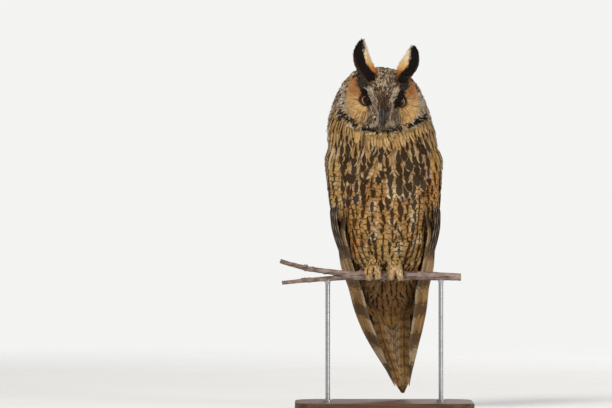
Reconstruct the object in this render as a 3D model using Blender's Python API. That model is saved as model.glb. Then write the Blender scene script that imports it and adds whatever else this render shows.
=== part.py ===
"""A life-size long-eared owl, upright on a thin forked branch, held by a plain display stand.

The bird looks along -Y, +X is its left side and +Z is up. The origin is the middle of the
stand's underside. Shapes are worked out in millimetres and stored in metres.
"""

import math

import bmesh
import bpy
import numpy as np
from mathutils import Vector

MM = 0.001
GAP = 0.3
SIDES = {"right": -1, "left": 1}

# Rows of the bird's outer form from the crown to the tail's tip: height, half width, front, back.
BODY_ROWS = (
    (376.0, 9.0, -19.0, 1.0),
    (372.5, 27.0, -31.0, 15.0),
    (364.0, 36.5, -39.0, 27.0),
    (351.0, 44.5, -44.5, 35.0),
    (338.0, 50.5, -46.0, 40.0),
    (323.0, 55.5, -45.5, 43.5),
    (308.0, 59.5, -45.0, 46.0),
    (294.0, 61.0, -46.0, 47.5),
    (275.0, 59.5, -48.5, 49.0),
    (253.0, 57.0, -50.0, 50.5),
    (231.0, 55.0, -49.0, 51.5),
    (209.0, 52.0, -44.5, 52.0),
    (190.0, 48.5, -37.0, 52.0),
    (177.0, 45.5, -27.0, 51.5),
    (168.0, 43.0, -14.0, 51.0),
    (159.0, 40.5, -1.0, 50.5),
    (148.0, 37.5, 8.5, 50.0),
    (135.0, 34.0, 14.5, 50.0),
    (110.0, 30.5, 22.0, 52.0),
    (80.0, 23.5, 31.0, 55.5),
    (50.0, 15.5, 40.0, 58.5),
    (20.0, 7.0, 48.0, 61.0),
)
BODY_SQUARENESS = 0.9
HEAD_BOTTOM = 304.0
NECK_BOTTOM = 288.0
TORSO_BOTTOM = 135.0
BODY_COLUMNS = 30
HEAD_COLUMNS = 40

# How the bird leans in the photo: its middle line moves along X with height, the head turns and tips.
LEAN = ((400, -4.5), (340, -4.5), (310, -3.8), (286, -1.0), (253, 0.0), (209, 1.5), (165, 3.5),
        (121, 6.5), (77, 11.0), (33, 19.0), (10, 22.5))
HEAD_TURN = math.radians(4.3)
HEAD_TIP = 0.045
HEAD_MOVES_FROM = 300.0
HEAD_MOVES_FULLY = 326.0

# The face
EYE_X = 18.9
EYE_Z = 339.0
EYE_Y = -33.6
EYE_RADIUS = 8.2
LID_THICKNESS = 1.5
EYE_OPENING = (6.2, 5.0)
EYE_SLANT = math.radians(14)
DISC_CENTRE = (23.0, 338.5)
DISC_RADII = (20.0, 27.5)
DISC_DEPTH = 5.5
RIM_HEIGHT = 2.2
BROW_FOOT = (5.0, 328.0)
BROW_TOP = (18.0, 364.0)
BROW_HEIGHT = 2.8
BRIDGE_HEIGHT = 4.5

# Feet on the perch
PERCH_Y = -12.0
PERCH_Z = 148.0
PERCH_RADIUS = 4.8
FEET_MIDDLE = -4.5
FEET_SPACING = 24.0
TARSUS_RADIUS = 6.2
ANKLE_Z = 160.0
TOE_RADIUS = 2.9
CLAW_RADIUS = 1.7
CLAW_GAP = 0.75

# The stand
BASE_SIZE = (196.0, 140.0, 10.0)
BASE_CORNER = 30.0
ROD_RADIUS = 2.5
ROD_X = 62.0

COLOURS = {
    "plumage": (0.42, 0.29, 0.16),
    "face": (0.62, 0.42, 0.24),
    "dark": (0.03, 0.025, 0.02),
    "iris": (0.85, 0.33, 0.03),
    "horn": (0.05, 0.05, 0.055),
    "foot": (0.6, 0.45, 0.28),
    "bark": (0.22, 0.17, 0.14),
    "wood": (0.16, 0.09, 0.05),
    "steel": (0.35, 0.35, 0.36),
}


def hermite(rows, at):
    """Smooth values at positions counted in rows, through every row of a table."""
    rows = np.asarray(rows, float)
    at = np.clip(np.asarray(at, float), 0, len(rows) - 1)
    slopes = np.gradient(rows, axis=0)
    first = np.minimum(at.astype(int), len(rows) - 2)
    t = (at - first)[..., None]
    a, b = rows[first], rows[first + 1]
    slope_a, slope_b = slopes[first], slopes[first + 1]
    return (
        (1 + 2 * t) * (1 - t) ** 2 * a
        + t * (1 - t) ** 2 * slope_a
        + t * t * (3 - 2 * t) * b
        + t * t * (t - 1) * slope_b
    )


BODY_STEPS = np.linspace(0, len(BODY_ROWS) - 1, 1200)
BODY_TABLE = hermite(BODY_ROWS, BODY_STEPS)


def along(stations, z):
    """A value at height z, read smoothly from a few (height, value) stations."""
    stations = sorted(stations)
    heights = [s[0] for s in stations]
    place = np.interp(z, heights, range(len(stations)))
    return hermite([[s[1]] for s in stations], place)[..., 0]


def smoothstep(low, high, value):
    t = np.clip((np.asarray(value, float) - low) / (high - low), 0, 1)
    return t * t * (3 - 2 * t)


def body_row(z):
    """Half width, front and back of the outer form at height z."""
    table = BODY_TABLE[::-1]
    return [np.interp(z, table[:, 0], table[:, k]) for k in (1, 2, 3)]


def signed_power(value, power):
    return np.sign(value) * np.abs(value) ** power


def face_relief(x, z):
    """How far the face stands proud of the plain oval head, at a point of its front."""
    u = np.abs(x)
    rho = np.hypot((u - DISC_CENTRE[0]) / DISC_RADII[0], (z - DISC_CENTRE[1]) / DISC_RADII[1])
    dish = -DISC_DEPTH * np.clip(1 - rho**2, 0, 1)
    rim = RIM_HEIGHT * np.exp(-(((rho - 1.03) / 0.11) ** 2)) * smoothstep(8, 22, u)
    bridge = BRIDGE_HEIGHT * np.exp(-((u / 6.5) ** 2)) * smoothstep(306, 322, z)
    bridge = bridge * (1 - 0.7 * smoothstep(340, 368, z))
    along_brow = np.clip((z - BROW_FOOT[1]) / (BROW_TOP[1] - BROW_FOOT[1]), 0, 1)
    brow_x = BROW_FOOT[0] + along_brow * (BROW_TOP[0] - BROW_FOOT[0])
    brow = BROW_HEIGHT * np.exp(-(((u - brow_x) / 3.6) ** 2)) * smoothstep(322, 334, z)
    brow = brow * (1 - smoothstep(360, 371, z))
    chin = -2.5 * np.exp(-(((z - 305.5) / 3.5) ** 2)) * (1 - smoothstep(30, 46, u))
    return dish + rim + bridge + brow + chin


def body_points(z, angle, outward=0.0):
    """Points of the outer form. The angle is 0 at the breast, 90 degrees at the side, 180 at the back."""
    z, angle = np.broadcast_arrays(np.asarray(z, float), np.asarray(angle, float))
    half, front, back = body_row(z)
    middle = (front + back) / 2
    depth = (back - front) / 2
    x = (half + outward) * signed_power(np.sin(angle), BODY_SQUARENESS)
    y = middle - (depth + outward) * signed_power(np.cos(angle), BODY_SQUARENESS)
    facing = smoothstep(0.15, 0.6, np.cos(angle)) * smoothstep(300, 309, z)
    y = y - facing * face_relief(x, z)
    return np.stack([x, y, z], axis=-1)


def new_object(name, points, faces):
    """A mesh object from points in millimetres."""
    mesh = bpy.data.meshes.new(name)
    points = np.asarray(points, float).reshape(-1, 3)
    mesh.from_pydata((points * MM).tolist(), [], [list(map(int, f)) for f in faces])
    mesh.validate()
    obj = bpy.data.objects.new(name, mesh)
    bpy.context.scene.collection.objects.link(obj)
    return obj


def ring_faces(rings, columns, start=0):
    """Quads between rings of points, each ring closed on itself."""
    faces = []
    for i in range(rings - 1):
        for j in range(columns):
            k = (j + 1) % columns
            a, b = start + i * columns + j, start + i * columns + k
            faces.append((a, a + columns, b + columns, b))
    return faces


def lofted(name, rings):
    """A closed solid through rings of points, its two ends filled."""
    rings = np.asarray(rings, float)
    count, columns = rings.shape[:2]
    faces = ring_faces(count, columns)
    faces.append(tuple(range(columns)))
    faces.append(tuple(range(count * columns - 1, (count - 1) * columns - 1, -1)))
    obj = new_object(name, rings.reshape(-1, 3), faces)
    face_outwards(obj)
    return obj


def face_outwards(obj):
    """Turns every face out and splits them all into triangles."""
    work = bmesh.new()
    work.from_mesh(obj.data)
    bmesh.ops.triangulate(work, faces=[f for f in work.faces if len(f.verts) > 4])
    bmesh.ops.recalc_face_normals(work, faces=work.faces)
    if work.calc_volume(signed=True) < 0:
        bmesh.ops.reverse_faces(work, faces=work.faces)
    work.to_mesh(obj.data)
    work.free()


def tube(name, path, radii, sides=10, flatten=1.0):
    """A closed tube along a path, flattened to one side if asked."""
    path = [Vector(p) for p in path]
    rings = []
    side = None
    for i, point in enumerate(path):
        ahead = path[min(i + 1, len(path) - 1)] - path[max(i - 1, 0)]
        ahead.normalize()
        if side is None:
            helper = Vector((1, 0, 0)) if abs(ahead.x) < 0.8 else Vector((0, 0, 1))
            side = ahead.cross(helper).normalized()
        side = (side - ahead * side.dot(ahead)).normalized()
        other = ahead.cross(side)
        ring = []
        for k in range(sides):
            turn = 2 * math.pi * k / sides
            sideways, upwards = radii[i] * flatten * math.cos(turn), radii[i] * math.sin(turn)
            ring.append(point + side * sideways + other * upwards)
        rings.append(ring)
    return lofted(name, rings)


def ellipsoid(name, centre, radii, rows=10, columns=16):
    rings = []
    for i in range(1, rows):
        polar = math.pi * i / rows
        rings.append(
            [
                (
                    centre[0] + radii[0] * math.sin(polar) * math.cos(2 * math.pi * k / columns),
                    centre[1] + radii[1] * math.sin(polar) * math.sin(2 * math.pi * k / columns),
                    centre[2] + radii[2] * math.cos(polar),
                )
                for k in range(columns)
            ]
        )
    return lofted(name, rings)


def apply_modifiers(obj):
    bpy.context.view_layer.update()
    graph = bpy.context.evaluated_depsgraph_get()
    made = bpy.data.meshes.new_from_object(obj.evaluated_get(graph))
    obj.modifiers.clear()
    old = obj.data
    obj.data = made
    bpy.data.meshes.remove(old)


def boolean(obj, others, operation, solver="EXACT"):
    """Joins or cuts obj with closed meshes, which are then removed."""
    group = bpy.data.collections.new("operands")
    for other in others:
        group.objects.link(other)
    modifier = obj.modifiers.new("boolean", "BOOLEAN")
    modifier.operation = operation
    modifier.operand_type = "COLLECTION"
    modifier.collection = group
    modifier.solver = solver
    apply_modifiers(obj)
    for other in others:
        mesh = other.data
        bpy.data.objects.remove(other)
        bpy.data.meshes.remove(mesh)
    bpy.data.collections.remove(group)
    return obj


def keep_largest(obj):
    """Leaves only the piece of a mesh with the largest volume."""
    work = bmesh.new()
    work.from_mesh(obj.data)
    left, pieces = set(work.faces), []
    while left:
        seed = left.pop()
        piece, edge_of = {seed}, [seed]
        while edge_of:
            face = edge_of.pop()
            for edge in face.edges:
                for near in edge.link_faces:
                    if near in left:
                        left.remove(near)
                        piece.add(near)
                        edge_of.append(near)
        pieces.append(piece)

    def size_of(piece):
        total = 0.0
        for face in piece:
            corners = [v.co for v in face.verts]
            for i in range(1, len(corners) - 1):
                total += corners[0].dot(corners[i].cross(corners[i + 1]))
        return abs(total)

    pieces.sort(key=size_of, reverse=True)
    loose = [face for piece in pieces[1:] for face in piece]
    bmesh.ops.delete(work, geom=loose, context="FACES")
    work.to_mesh(obj.data)
    work.free()
    return obj


def levels(top, bottom, step):
    """Heights from top to bottom, about one step apart."""
    return np.linspace(top, bottom, max(2, round((top - bottom) / step) + 1))


def body_loft(name, heights, columns, outward=0.0):
    """A slice of the outer form between two heights, with its columns closer together at the face."""
    turn = np.linspace(0, 2 * math.pi, columns, endpoint=False)
    if columns == HEAD_COLUMNS:
        turn = turn - 0.42 * np.sin(turn)
    rings = np.array([body_points(z, turn, outward) for z in heights])
    rings[..., 2] += outward * smoothstep(350, 370, rings[..., 2])
    return lofted(name, rings)


def crown_heights():
    """The head's rows: close together over the crown's dome and round the eyes."""
    dome = [376.0, 375.0, 372.6, 368.5]
    face = list(levels(364.0, 309.0, 4.3))
    return np.array(dome + face + [306.5])


def make_head():
    heights = np.append(crown_heights(), HEAD_BOTTOM + GAP / 2)
    head = body_loft("head", heights, HEAD_COLUMNS)
    lids, sockets, openings = [], [], []
    for side in SIDES.values():
        centre = (side * EYE_X, EYE_Y, EYE_Z)
        lid = EYE_RADIUS + GAP + LID_THICKNESS
        socket = EYE_RADIUS + GAP
        lids.append(ellipsoid("lid", centre, (lid,) * 3))
        sockets.append(ellipsoid("socket", centre, (socket,) * 3))
        openings.append(eye_opening(side))
    boolean(head, lids, "UNION")
    boolean(head, sockets, "DIFFERENCE")
    boolean(head, openings, "DIFFERENCE")
    return keep_largest(head)


def eye_opening(side):
    """The almond between the lids, its inner corner lower, as a plug through them."""
    rings = []
    for y in (EYE_Y - 20, EYE_Y - 2):
        ring = []
        for k in range(16):
            turn = 2 * math.pi * k / 16
            across = EYE_OPENING[0] * math.cos(turn)
            up = EYE_OPENING[1] * math.sin(turn)
            x = across * math.cos(EYE_SLANT) - up * math.sin(EYE_SLANT)
            z = across * math.sin(EYE_SLANT) + up * math.cos(EYE_SLANT)
            ring.append((side * (EYE_X + x), y, EYE_Z + z))
        rings.append(ring)
    return lofted("opening", rings)


def make_neck():
    return body_loft("neck", levels(HEAD_BOTTOM - GAP / 2, NECK_BOTTOM + GAP / 2, 7), BODY_COLUMNS)


def torso_heights():
    return np.concatenate([levels(NECK_BOTTOM - GAP / 2, 196, 13), levels(188, TORSO_BOTTOM + GAP / 2, 5.5)])


def make_torso():
    return body_loft("torso", torso_heights(), BODY_COLUMNS)


def body_cutter(outward=GAP):
    """The neck and torso a little larger, to cut what lies against them."""
    heights = np.concatenate([levels(HEAD_BOTTOM + 8, NECK_BOTTOM, 7), torso_heights()[:-1], [TORSO_BOTTOM - GAP]])
    return body_loft("body_cutter", heights, BODY_COLUMNS, outward)


def head_cutter(outward=GAP):
    heights = np.append(crown_heights(), HEAD_BOTTOM)
    return body_loft("head_cutter", heights, HEAD_COLUMNS, outward)


def sheet_solid(name, outer, inner):
    """A closed slab between two grids of points of the same shape, split alike on both faces."""
    rows, columns = outer.shape[:2]
    points = np.concatenate([outer.reshape(-1, 3), inner.reshape(-1, 3)])
    under = rows * columns
    faces = []
    for i in range(rows - 1):
        for j in range(columns - 1):
            a = i * columns + j
            b, c, d = a + 1, a + columns + 1, a + columns
            faces += [(a, b, c), (a, c, d), (under + a, under + c, under + b), (under + a, under + d, under + c)]
    border = [(0, j) for j in range(columns)] + [(i, columns - 1) for i in range(1, rows)]
    border += [(rows - 1, j) for j in range(columns - 2, -1, -1)] + [(i, 0) for i in range(rows - 2, 0, -1)]
    edge = [i * columns + j for i, j in border]
    for a, b in zip(edge, edge[1:] + edge[:1]):
        faces += [(a, under + a, under + b), (a, under + b, b)]
    obj = new_object(name, points, faces)
    face_outwards(obj)
    return obj


# Outlines of vanes: share of the length, share of the half width.
LONG_VANE = ((0.0, 0.5), (0.25, 0.86), (0.62, 1.0), (0.88, 0.7), (1.0, 0.2))
SHORT_VANE = ((0.0, 0.6), (0.5, 1.0), (0.84, 0.78), (1.0, 0.25))
VANE_EDGE_THINNER = 0.4
VANE_THICKNESS = 0.95
SEED = 7


def vane(surface, half_width, outline=LONG_VANE, thickness=VANE_THICKNESS, columns=2):
    """One feather as a closed slab. surface(share, across, out) gives points along, across and off it."""
    outer, inner = [], []
    for share, width in outline:
        across = np.linspace(-1, 1, columns) * half_width * width
        thick = thickness * (1 - VANE_EDGE_THINNER * share**3)
        outer.append(surface(share, across, thick / 2))
        inner.append(surface(share, across, -thick / 2))
    return sheet_solid("vane", np.array(outer), np.array(inner))


# The folded wing, by the angle round the body: 0 is the breast, 90 the side and 180 the back.
WING_TOP = 292.0
WING_CORE_BOTTOM = 178.0
WING_FRONT = ((292, 66), (272, 52), (231, 50), (200, 58), (178, 68))
WING_BACK = ((292, 150), (272, 170), (231, 172), (178, 168))
WING_THICKNESS = ((292, 1.5), (275, 5.0), (231, 5.8), (165, 6.0), (110, 4.5), (60, 2.6), (18, 1.2))
WING_CORE_SUNK = 1.5
VANE_TILT = 0.21
ROOT_SUNK = 3.4

# Tiers of a wing's feathers, the lowest first. Roots and tips run from the front of the wing to its back,
# each as an angle and a height, and lift is how far the vanes lie above the wing's mean surface.
WING_TIERS = (
    {
        "root": ((82, 206), (140, 206)),
        "tip": ((99, 0), (144, 0)),
        "tip_heights": (38, 21, 19, 36, 62, 96),
        "count": 6, "half_width": 7.8, "lift": -1.7, "long": True,
    },
    {
        "root": ((80, 238), (106, 238)),
        "tip": ((86, 192), (110, 184)),
        "count": 3, "half_width": 6.4, "lift": -1.0, "long": False,
    },
    {
        "root": ((114, 222), (158, 224)),
        "tip": ((122, 138), (164, 150)),
        "count": 5, "half_width": 8.6, "lift": -0.5, "long": True,
    },
    {
        "root": ((88, 252), (156, 254)),
        "tip": ((97, 209), (158, 200)),
        "count": 5, "half_width": 8.8, "lift": -0.4, "long": False,
    },
    {
        "root": ((69, 273), (146, 273)),
        "tip": ((74, 238), (148, 234)),
        "count": 5, "half_width": 9.4, "lift": -0.4, "long": False,
    },
    {
        "root": ((140, 284), (166, 284)),
        "tip": ((148, 236), (168, 206)),
        "count": 4, "half_width": 8.6, "lift": 1.0, "long": False,
    },
)


def arc_radius(z, angle):
    """How far the outer form's surface runs at a height for a radian of angle."""
    step = 0.05
    ends = body_points(z, np.array([angle - step, angle + step]))
    return float(np.linalg.norm(ends[1] - ends[0])) / (2 * step)


def wing_surface(root, tip, lift):
    """A feather's surface on the folded wing, its front edge standing over the feather before it."""

    def surface(share, across, out):
        z = root[1] + (tip[1] - root[1]) * share
        angle = math.radians(root[0] + (tip[0] - root[0]) * share)
        rise = along(WING_THICKNESS, z) + lift - ROOT_SUNK * (1 - smoothstep(0, 0.35, share))
        return body_points(z, angle + across / arc_radius(z, angle), rise - VANE_TILT * across + out)

    return surface


def wing_core():
    """The flesh and smallest coverts of the folded wing, which the larger feathers grow from."""
    outer, inner = [], []
    share = np.linspace(0, 1, 8)
    for z in levels(WING_TOP, WING_CORE_BOTTOM, 19):
        front, back = math.radians(along(WING_FRONT, z)), math.radians(along(WING_BACK, z))
        angle = front + (back - front) * share
        edge = 0.45 + 0.55 * np.sin(math.pi * np.clip(share, 0.05, 0.95)) ** 0.4
        sunk = WING_CORE_SUNK * smoothstep(WING_TOP, WING_TOP - 25, z)
        sunk += 2 * smoothstep(200, WING_CORE_BOTTOM, z)
        reach = along(WING_THICKNESS, z) * edge - sunk
        outer.append([body_points(z, a, out) for a, out in zip(angle, reach)])
        inner.append([body_points(z, a, -1.5) for a in angle])
    return sheet_solid("wing", np.array(outer), np.array(inner))


def mix(pair, share):
    return [a + (b - a) * share for a, b in zip(*pair)]


def make_wing(side):
    """The folded wing: primaries, secondaries, three rows of coverts, alula and scapulars on one core."""
    random = np.random.default_rng(SEED + side)
    wing = wing_core()
    vanes = []
    for tier in WING_TIERS:
        for i in range(tier["count"]):
            share = i / (tier["count"] - 1)
            root, tip = mix(tier["root"], share), mix(tier["tip"], share)
            if "tip_heights" in tier:
                tip[1] = tier["tip_heights"][i]
            else:
                tip[1] += random.uniform(-1.5, 1.5)
            tip[0] += random.uniform(-0.8, 0.8)
            surface = wing_surface(root, tip, tier["lift"] + 0.2 * share)
            half_width = tier["half_width"] * random.uniform(0.95, 1.05)
            if tier["long"]:
                vanes.append(vane(surface, half_width, LONG_VANE, columns=3))
            else:
                vanes.append(vane(surface, half_width, SHORT_VANE))
    boolean(wing, vanes, "UNION", "MANIFOLD")
    boolean(wing, [body_cutter()], "DIFFERENCE", "MANIFOLD")
    wing.name = "wing_right" if side < 0 else "wing_left"
    if side < 0:
        mirror(wing)
    return keep_largest(wing)


def mirror(obj):
    """Moves a mesh to the other side of the bird."""
    work = bmesh.new()
    work.from_mesh(obj.data)
    for point in work.verts:
        point.co.x = -point.co.x
    bmesh.ops.reverse_faces(work, faces=work.faces)
    work.to_mesh(obj.data)
    work.free()


# The folded tail: a core under the coverts, and six feathers a side with the middle pair on top.
TAIL_TIP = 17.0
TAIL_LINE = ((135, 33), (110, 37), (80, 42), (50, 48), (17, 53))
TAIL_CORE_HALF_WIDTH = ((135, 30), (125, 26.5), (112, 20), (100, 12), (92, 5))
TAIL_CORE_THICKNESS = ((135, 31), (125, 24), (112, 14), (100, 7), (92, 3))
TAIL_FEATHERS = 6
TAIL_FEATHER_HALF_WIDTH = 7.4
TAIL_SPREAD = ((135, 2.6), (110, 2.7), (80, 2.2), (50, 1.25), (17, 0.5))
TAIL_STEP = 1.1
TAIL_ROOT = 128.0
UNDERTAIL_TIPS = (99, 88, 97)


def tail_surface(side, rank, root, tip, forward, spread, tilt):
    """A feather's surface in the tail, rank places out from the middle."""

    def surface(share, across, out):
        z = root + (tip - root) * share
        x = side * rank * along(spread, z) + across
        y = along(TAIL_LINE, z) - forward * smoothstep(0, 0.3, share) - out + tilt * across * side
        return np.stack([x, np.broadcast_to(y, x.shape), np.full(x.shape, z)], axis=-1)

    return surface


def make_tail():
    """The folded tail: twelve flight feathers and the row of coverts under them."""
    rings = []
    turn = np.linspace(0, 2 * math.pi, 14, endpoint=False)
    for z in levels(TORSO_BOTTOM - GAP / 2, 92, 10.5):
        half, thick, y = (along(rows, z) for rows in (TAIL_CORE_HALF_WIDTH, TAIL_CORE_THICKNESS, TAIL_LINE))
        rings.append(np.stack([half * np.sin(turn), y - thick / 2 * np.cos(turn), np.full(14, z)], axis=-1))
    tail = lofted("tail", rings)
    vanes = []
    for rank in range(TAIL_FEATHERS):
        for side in SIDES.values():
            forward = TAIL_STEP * (rank - 2) + (0.35 if side > 0 else 0.0)
            place = rank + 0.5
            surface = tail_surface(side, place, TAIL_ROOT, TAIL_TIP + 1.4 * rank, forward, TAIL_SPREAD, 0.06)
            vanes.append(vane(surface, TAIL_FEATHER_HALF_WIDTH, thickness=0.9))
    for i, tip in enumerate(UNDERTAIL_TIPS):
        rank = i - (len(UNDERTAIL_TIPS) - 1) / 2
        forward = 5.4 - 0.8 * abs(rank)
        vanes.append(vane(tail_surface(1, rank, 130.0, tip, forward, ((135, 9), (85, 6)), 0.0), 7.5, SHORT_VANE))
    boolean(tail, vanes, "UNION", "MANIFOLD")
    return keep_largest(tail)


TUFTS = {
    "right": {"root": (-18.0, -29.0, 364.0), "bend": (-10.0, -1.0, 22.0), "tip": (-4.5, 3.0, 44.0)},
    "left": {"root": (20.0, -29.0, 364.0), "bend": (9.0, -1.0, 20.0), "tip": (13.0, 3.0, 38.0)},
}
# Feathers of an ear tuft from its inner to its outer edge: place across, place to the back, share of length.
TUFT_FEATHERS = (
    (-5.8, 0.8, 0.62), (-3.0, -0.8, 0.86), (-0.4, 0.8, 1.0),
    (2.2, -0.8, 0.92), (4.6, 0.8, 0.74), (6.6, -0.8, 0.52),
)
TUFT_VANE_HALF_WIDTH = 3.4
TUFT_ROOT_DEPTH = 7.0


def tuft_point(tuft, share):
    """A point up the middle of an ear tuft: a curve from its root through its bend to its tip."""
    root, bend, tip = (np.array(tuft[key]) for key in ("root", "bend", "tip"))
    return root + 1.15 * bend * (2 * share * (1 - share)) + tip * share * share


def tuft_surface(side, tuft, across_at, back, length):
    """The surface of one feather of an ear tuft, wrapped a little to the back at its edges."""

    def surface(share, across, out):
        middle = tuft_point(tuft, share * length)
        place = across_at * (1 - 0.8 * share**1.3) + across
        x = middle[0] + side * place
        y = middle[1] + back + out + 0.045 * place**2
        z = middle[2] - TUFT_ROOT_DEPTH * (1 - share) ** 3 - 0.04 * place**2 * (1 - share)
        return np.stack([x, y, np.broadcast_to(z, x.shape)], axis=-1)

    return surface


def make_tuft(side_name):
    """An ear tuft of overlapping feathers that grow from one root."""
    side, tuft = SIDES[side_name], TUFTS[side_name]
    shares = (0.0, 0.0, 0.14, 0.3, 0.45)
    path = [tuft_point(tuft, share) for share in shares]
    path[0] = path[0] - (0, 0, TUFT_ROOT_DEPTH)
    core = tube(f"ear_tuft_{side_name}", path, [6.4, 6.6, 5.6, 3.6, 1.2], 8, 0.5)
    vanes = []
    for across_at, back, length in TUFT_FEATHERS:
        surface = tuft_surface(side, tuft, across_at, back, length)
        vanes.append(vane(surface, TUFT_VANE_HALF_WIDTH, SHORT_VANE))
    boolean(core, vanes, "UNION", "MANIFOLD")
    boolean(core, [head_cutter()], "DIFFERENCE", "MANIFOLD")
    return keep_largest(core)


def make_eye(side_name):
    side = SIDES[side_name]
    return ellipsoid(f"eye_{side_name}", (side * EYE_X, EYE_Y, EYE_Z), (EYE_RADIUS,) * 3)


# Middle lines of the bill's two halves: y, z and radius.
BILL_UPPER = (
    (-40.0, 334.5, 6.6), (-46.8, 333.2, 6.4), (-51.6, 329.0, 5.7), (-54.0, 323.0, 4.5),
    (-54.5, 317.0, 3.1), (-53.6, 312.2, 1.7), (-52.2, 309.4, 0.4),
)
BILL_LOWER = (
    (-40.0, 321.5, 4.8), (-46.0, 320.4, 4.4), (-49.6, 318.0, 3.4), (-51.0, 315.2, 1.9), (-51.2, 313.6, 0.7),
)
BILL_NARROWING = 0.82
NOSTRIL = (4.3, -50.6, 326.6)
NOSTRIL_RADII = (1.5, 1.0, 1.5)


def bill_tube(name, rows, outward=0.0):
    """One half of the bill, narrower across than it is deep."""
    path = [(0, y, z) for y, z, _ in rows]
    radii = [r + outward for _, _, r in rows]
    half = tube(name, path, radii, 12)
    for point in half.data.vertices:
        point.co.x *= BILL_NARROWING
    return half


def nostril(side):
    return ellipsoid("nostril", (side * NOSTRIL[0], NOSTRIL[1], NOSTRIL[2]), NOSTRIL_RADII, 6, 8)


def make_bill():
    """The bill's two halves, parted by the line of the mouth, with its nostrils."""
    upper = bill_tube("bill_upper", BILL_UPPER)
    lower = bill_tube("bill_lower", BILL_LOWER)
    boolean(upper, [head_cutter()] + [nostril(side) for side in SIDES.values()], "DIFFERENCE")
    over = bill_tube("over", BILL_UPPER, GAP * 1.4)
    boolean(lower, [head_cutter(), over], "DIFFERENCE")
    return [keep_largest(upper), keep_largest(lower)]


def perch_cutter():
    span = 60.0
    path = [(x, PERCH_Y, PERCH_Z) for x in (-span, span)]
    return tube("perch_cutter", path, [PERCH_RADIUS + GAP] * 2, 24)


def arc_round_perch(x, start, end, reach, splay, steps):
    """Points round the perch's axis from one angle to another, sliding sideways by splay."""
    points = []
    for k in range(steps):
        share = k / (steps - 1)
        turn = math.radians(start + (end - start) * share)
        out = reach[0] + (reach[1] - reach[0]) * share
        points.append((x + splay * share, PERCH_Y - out * math.cos(turn), PERCH_Z + out * math.sin(turn)))
    return points


# Each toe: name, offset from the foot's middle, sideways slide, start and end angle round the perch.
# An angle of 0 points forward, 90 up and 180 back.
TOES = (
    ("toe_inner", -3.4, -1.6, 78, -22),
    ("toe_middle", 3.4, 1.8, 78, -27),
    ("toe_outer", 4.4, 2.4, 100, 190),
    ("toe_hind", -3.6, -1.4, 100, 186),
)
CLAW_SWEEP = 50


def make_leg(side_name):
    """A short feathered shank between belly and foot."""
    side = SIDES[side_name]
    x = FEET_MIDDLE + side * FEET_SPACING / 2
    y = PERCH_Y + 2.5
    path = [(x * 0.9, y + 6, 186), (x * 0.95, y + 3.0, 178), (x, y + 1.0, 169), (x, y, ANKLE_Z + GAP / 2)]
    leg = tube(f"leg_{side_name}", path, [11.5, 10.5, 8.0, TARSUS_RADIUS], 16)
    flatten_end(leg, ANKLE_Z + GAP / 2)
    boolean(leg, [body_cutter()], "DIFFERENCE")
    return keep_largest(leg)


def flatten_end(obj, z):
    """Sets the lowest ring of a tube level."""
    low = sorted(obj.data.vertices, key=lambda v: v.co.z)[:16]
    for point in low:
        point.co.z = z * MM


def make_foot(side_name):
    """The feathered foot with its four toes round the perch, and its claws as pieces of their own."""
    side = SIDES[side_name]
    x = FEET_MIDDLE + side * FEET_SPACING / 2
    pad_top = ANKLE_Z - GAP / 2
    rings = []
    for z, rx, ry in ((pad_top, 6.2, 6.2), (157.0, 7.4, 6.8), (153.0, 7.0, 6.6), (150.0, 5.6, 6.0)):
        ring = [
            (x + rx * math.sin(2 * math.pi * k / 12), PERCH_Y + 1.5 - ry * math.cos(2 * math.pi * k / 12), z)
            for k in range(12)
        ]
        rings.append(ring)
    foot = lofted(f"foot_{side_name}", rings)
    toes, claws = [], []
    reach = PERCH_RADIUS + GAP + TOE_RADIUS
    for name, offset, slide, start, end in TOES:
        path = arc_round_perch(x + side * offset, start, end, (reach + 0.4, reach), side * slide, 7)
        toes.append(tube("toe", path, [3.2, 3.3, 3.0, 3.1, 2.9, 2.9, 2.4], 8))
        turn = 1 if end > start else -1
        begin = end + turn * math.degrees(CLAW_GAP / reach)
        finish = begin + turn * CLAW_SWEEP
        claw_reach = (reach - 0.3, PERCH_RADIUS + 2.6)
        claw = arc_round_perch(x + side * (offset + slide), begin, finish, claw_reach, side * slide * 0.3, 6)
        radii = [CLAW_RADIUS * (1 - 0.8 * (k / 5) ** 1.3) for k in range(6)]
        claws.append(tube(f"claw_{side_name}_{name[4:]}", claw, radii, 7))
    boolean(foot, toes, "UNION")
    boolean(foot, [perch_cutter()], "DIFFERENCE")
    return [keep_largest(foot)] + claws


MAIN_SIDES = 14
TWIG_SIDES = 10

# Middle lines of the branch and its two twigs: x, y, z and radius, from the cut end to the fork.
PERCH_MAIN = (
    (84, -14, 146.5, 3.9), (70, -13.2, 147.0, 4.3), (52, -12.2, 147.8, 4.7), (34, -12, 148, 4.8),
    (0, -12, 148, 4.8), (-26, -12, 148, 4.8), (-38, -12, 148.2, 4.8), (-46, -12, 148.4, 4.0),
)
TWIG_UPPER = (
    (-30, -12, 148.5, 3.6), (-48, -12.5, 150.8, 3.3), (-66, -13.5, 153.2, 2.9), (-82, -14, 155.4, 2.9),
    (-86, -14.2, 156.4, 3.5), (-90, -14.3, 157.4, 2.8), (-104, -15, 161.0, 2.5), (-114, -15.5, 164.2, 2.4),
)
TWIG_LOWER = (
    (-30, -12, 147.5, 3.5), (-46, -11.5, 146.0, 3.0), (-62, -11, 144.8, 2.8), (-78, -10.5, 143.6, 2.5),
    (-82, -10.4, 143.3, 3.1), (-86, -10.2, 143.0, 2.4), (-100, -9.5, 141.4, 2.2), (-112, -9, 140.2, 2.1),
)


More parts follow.
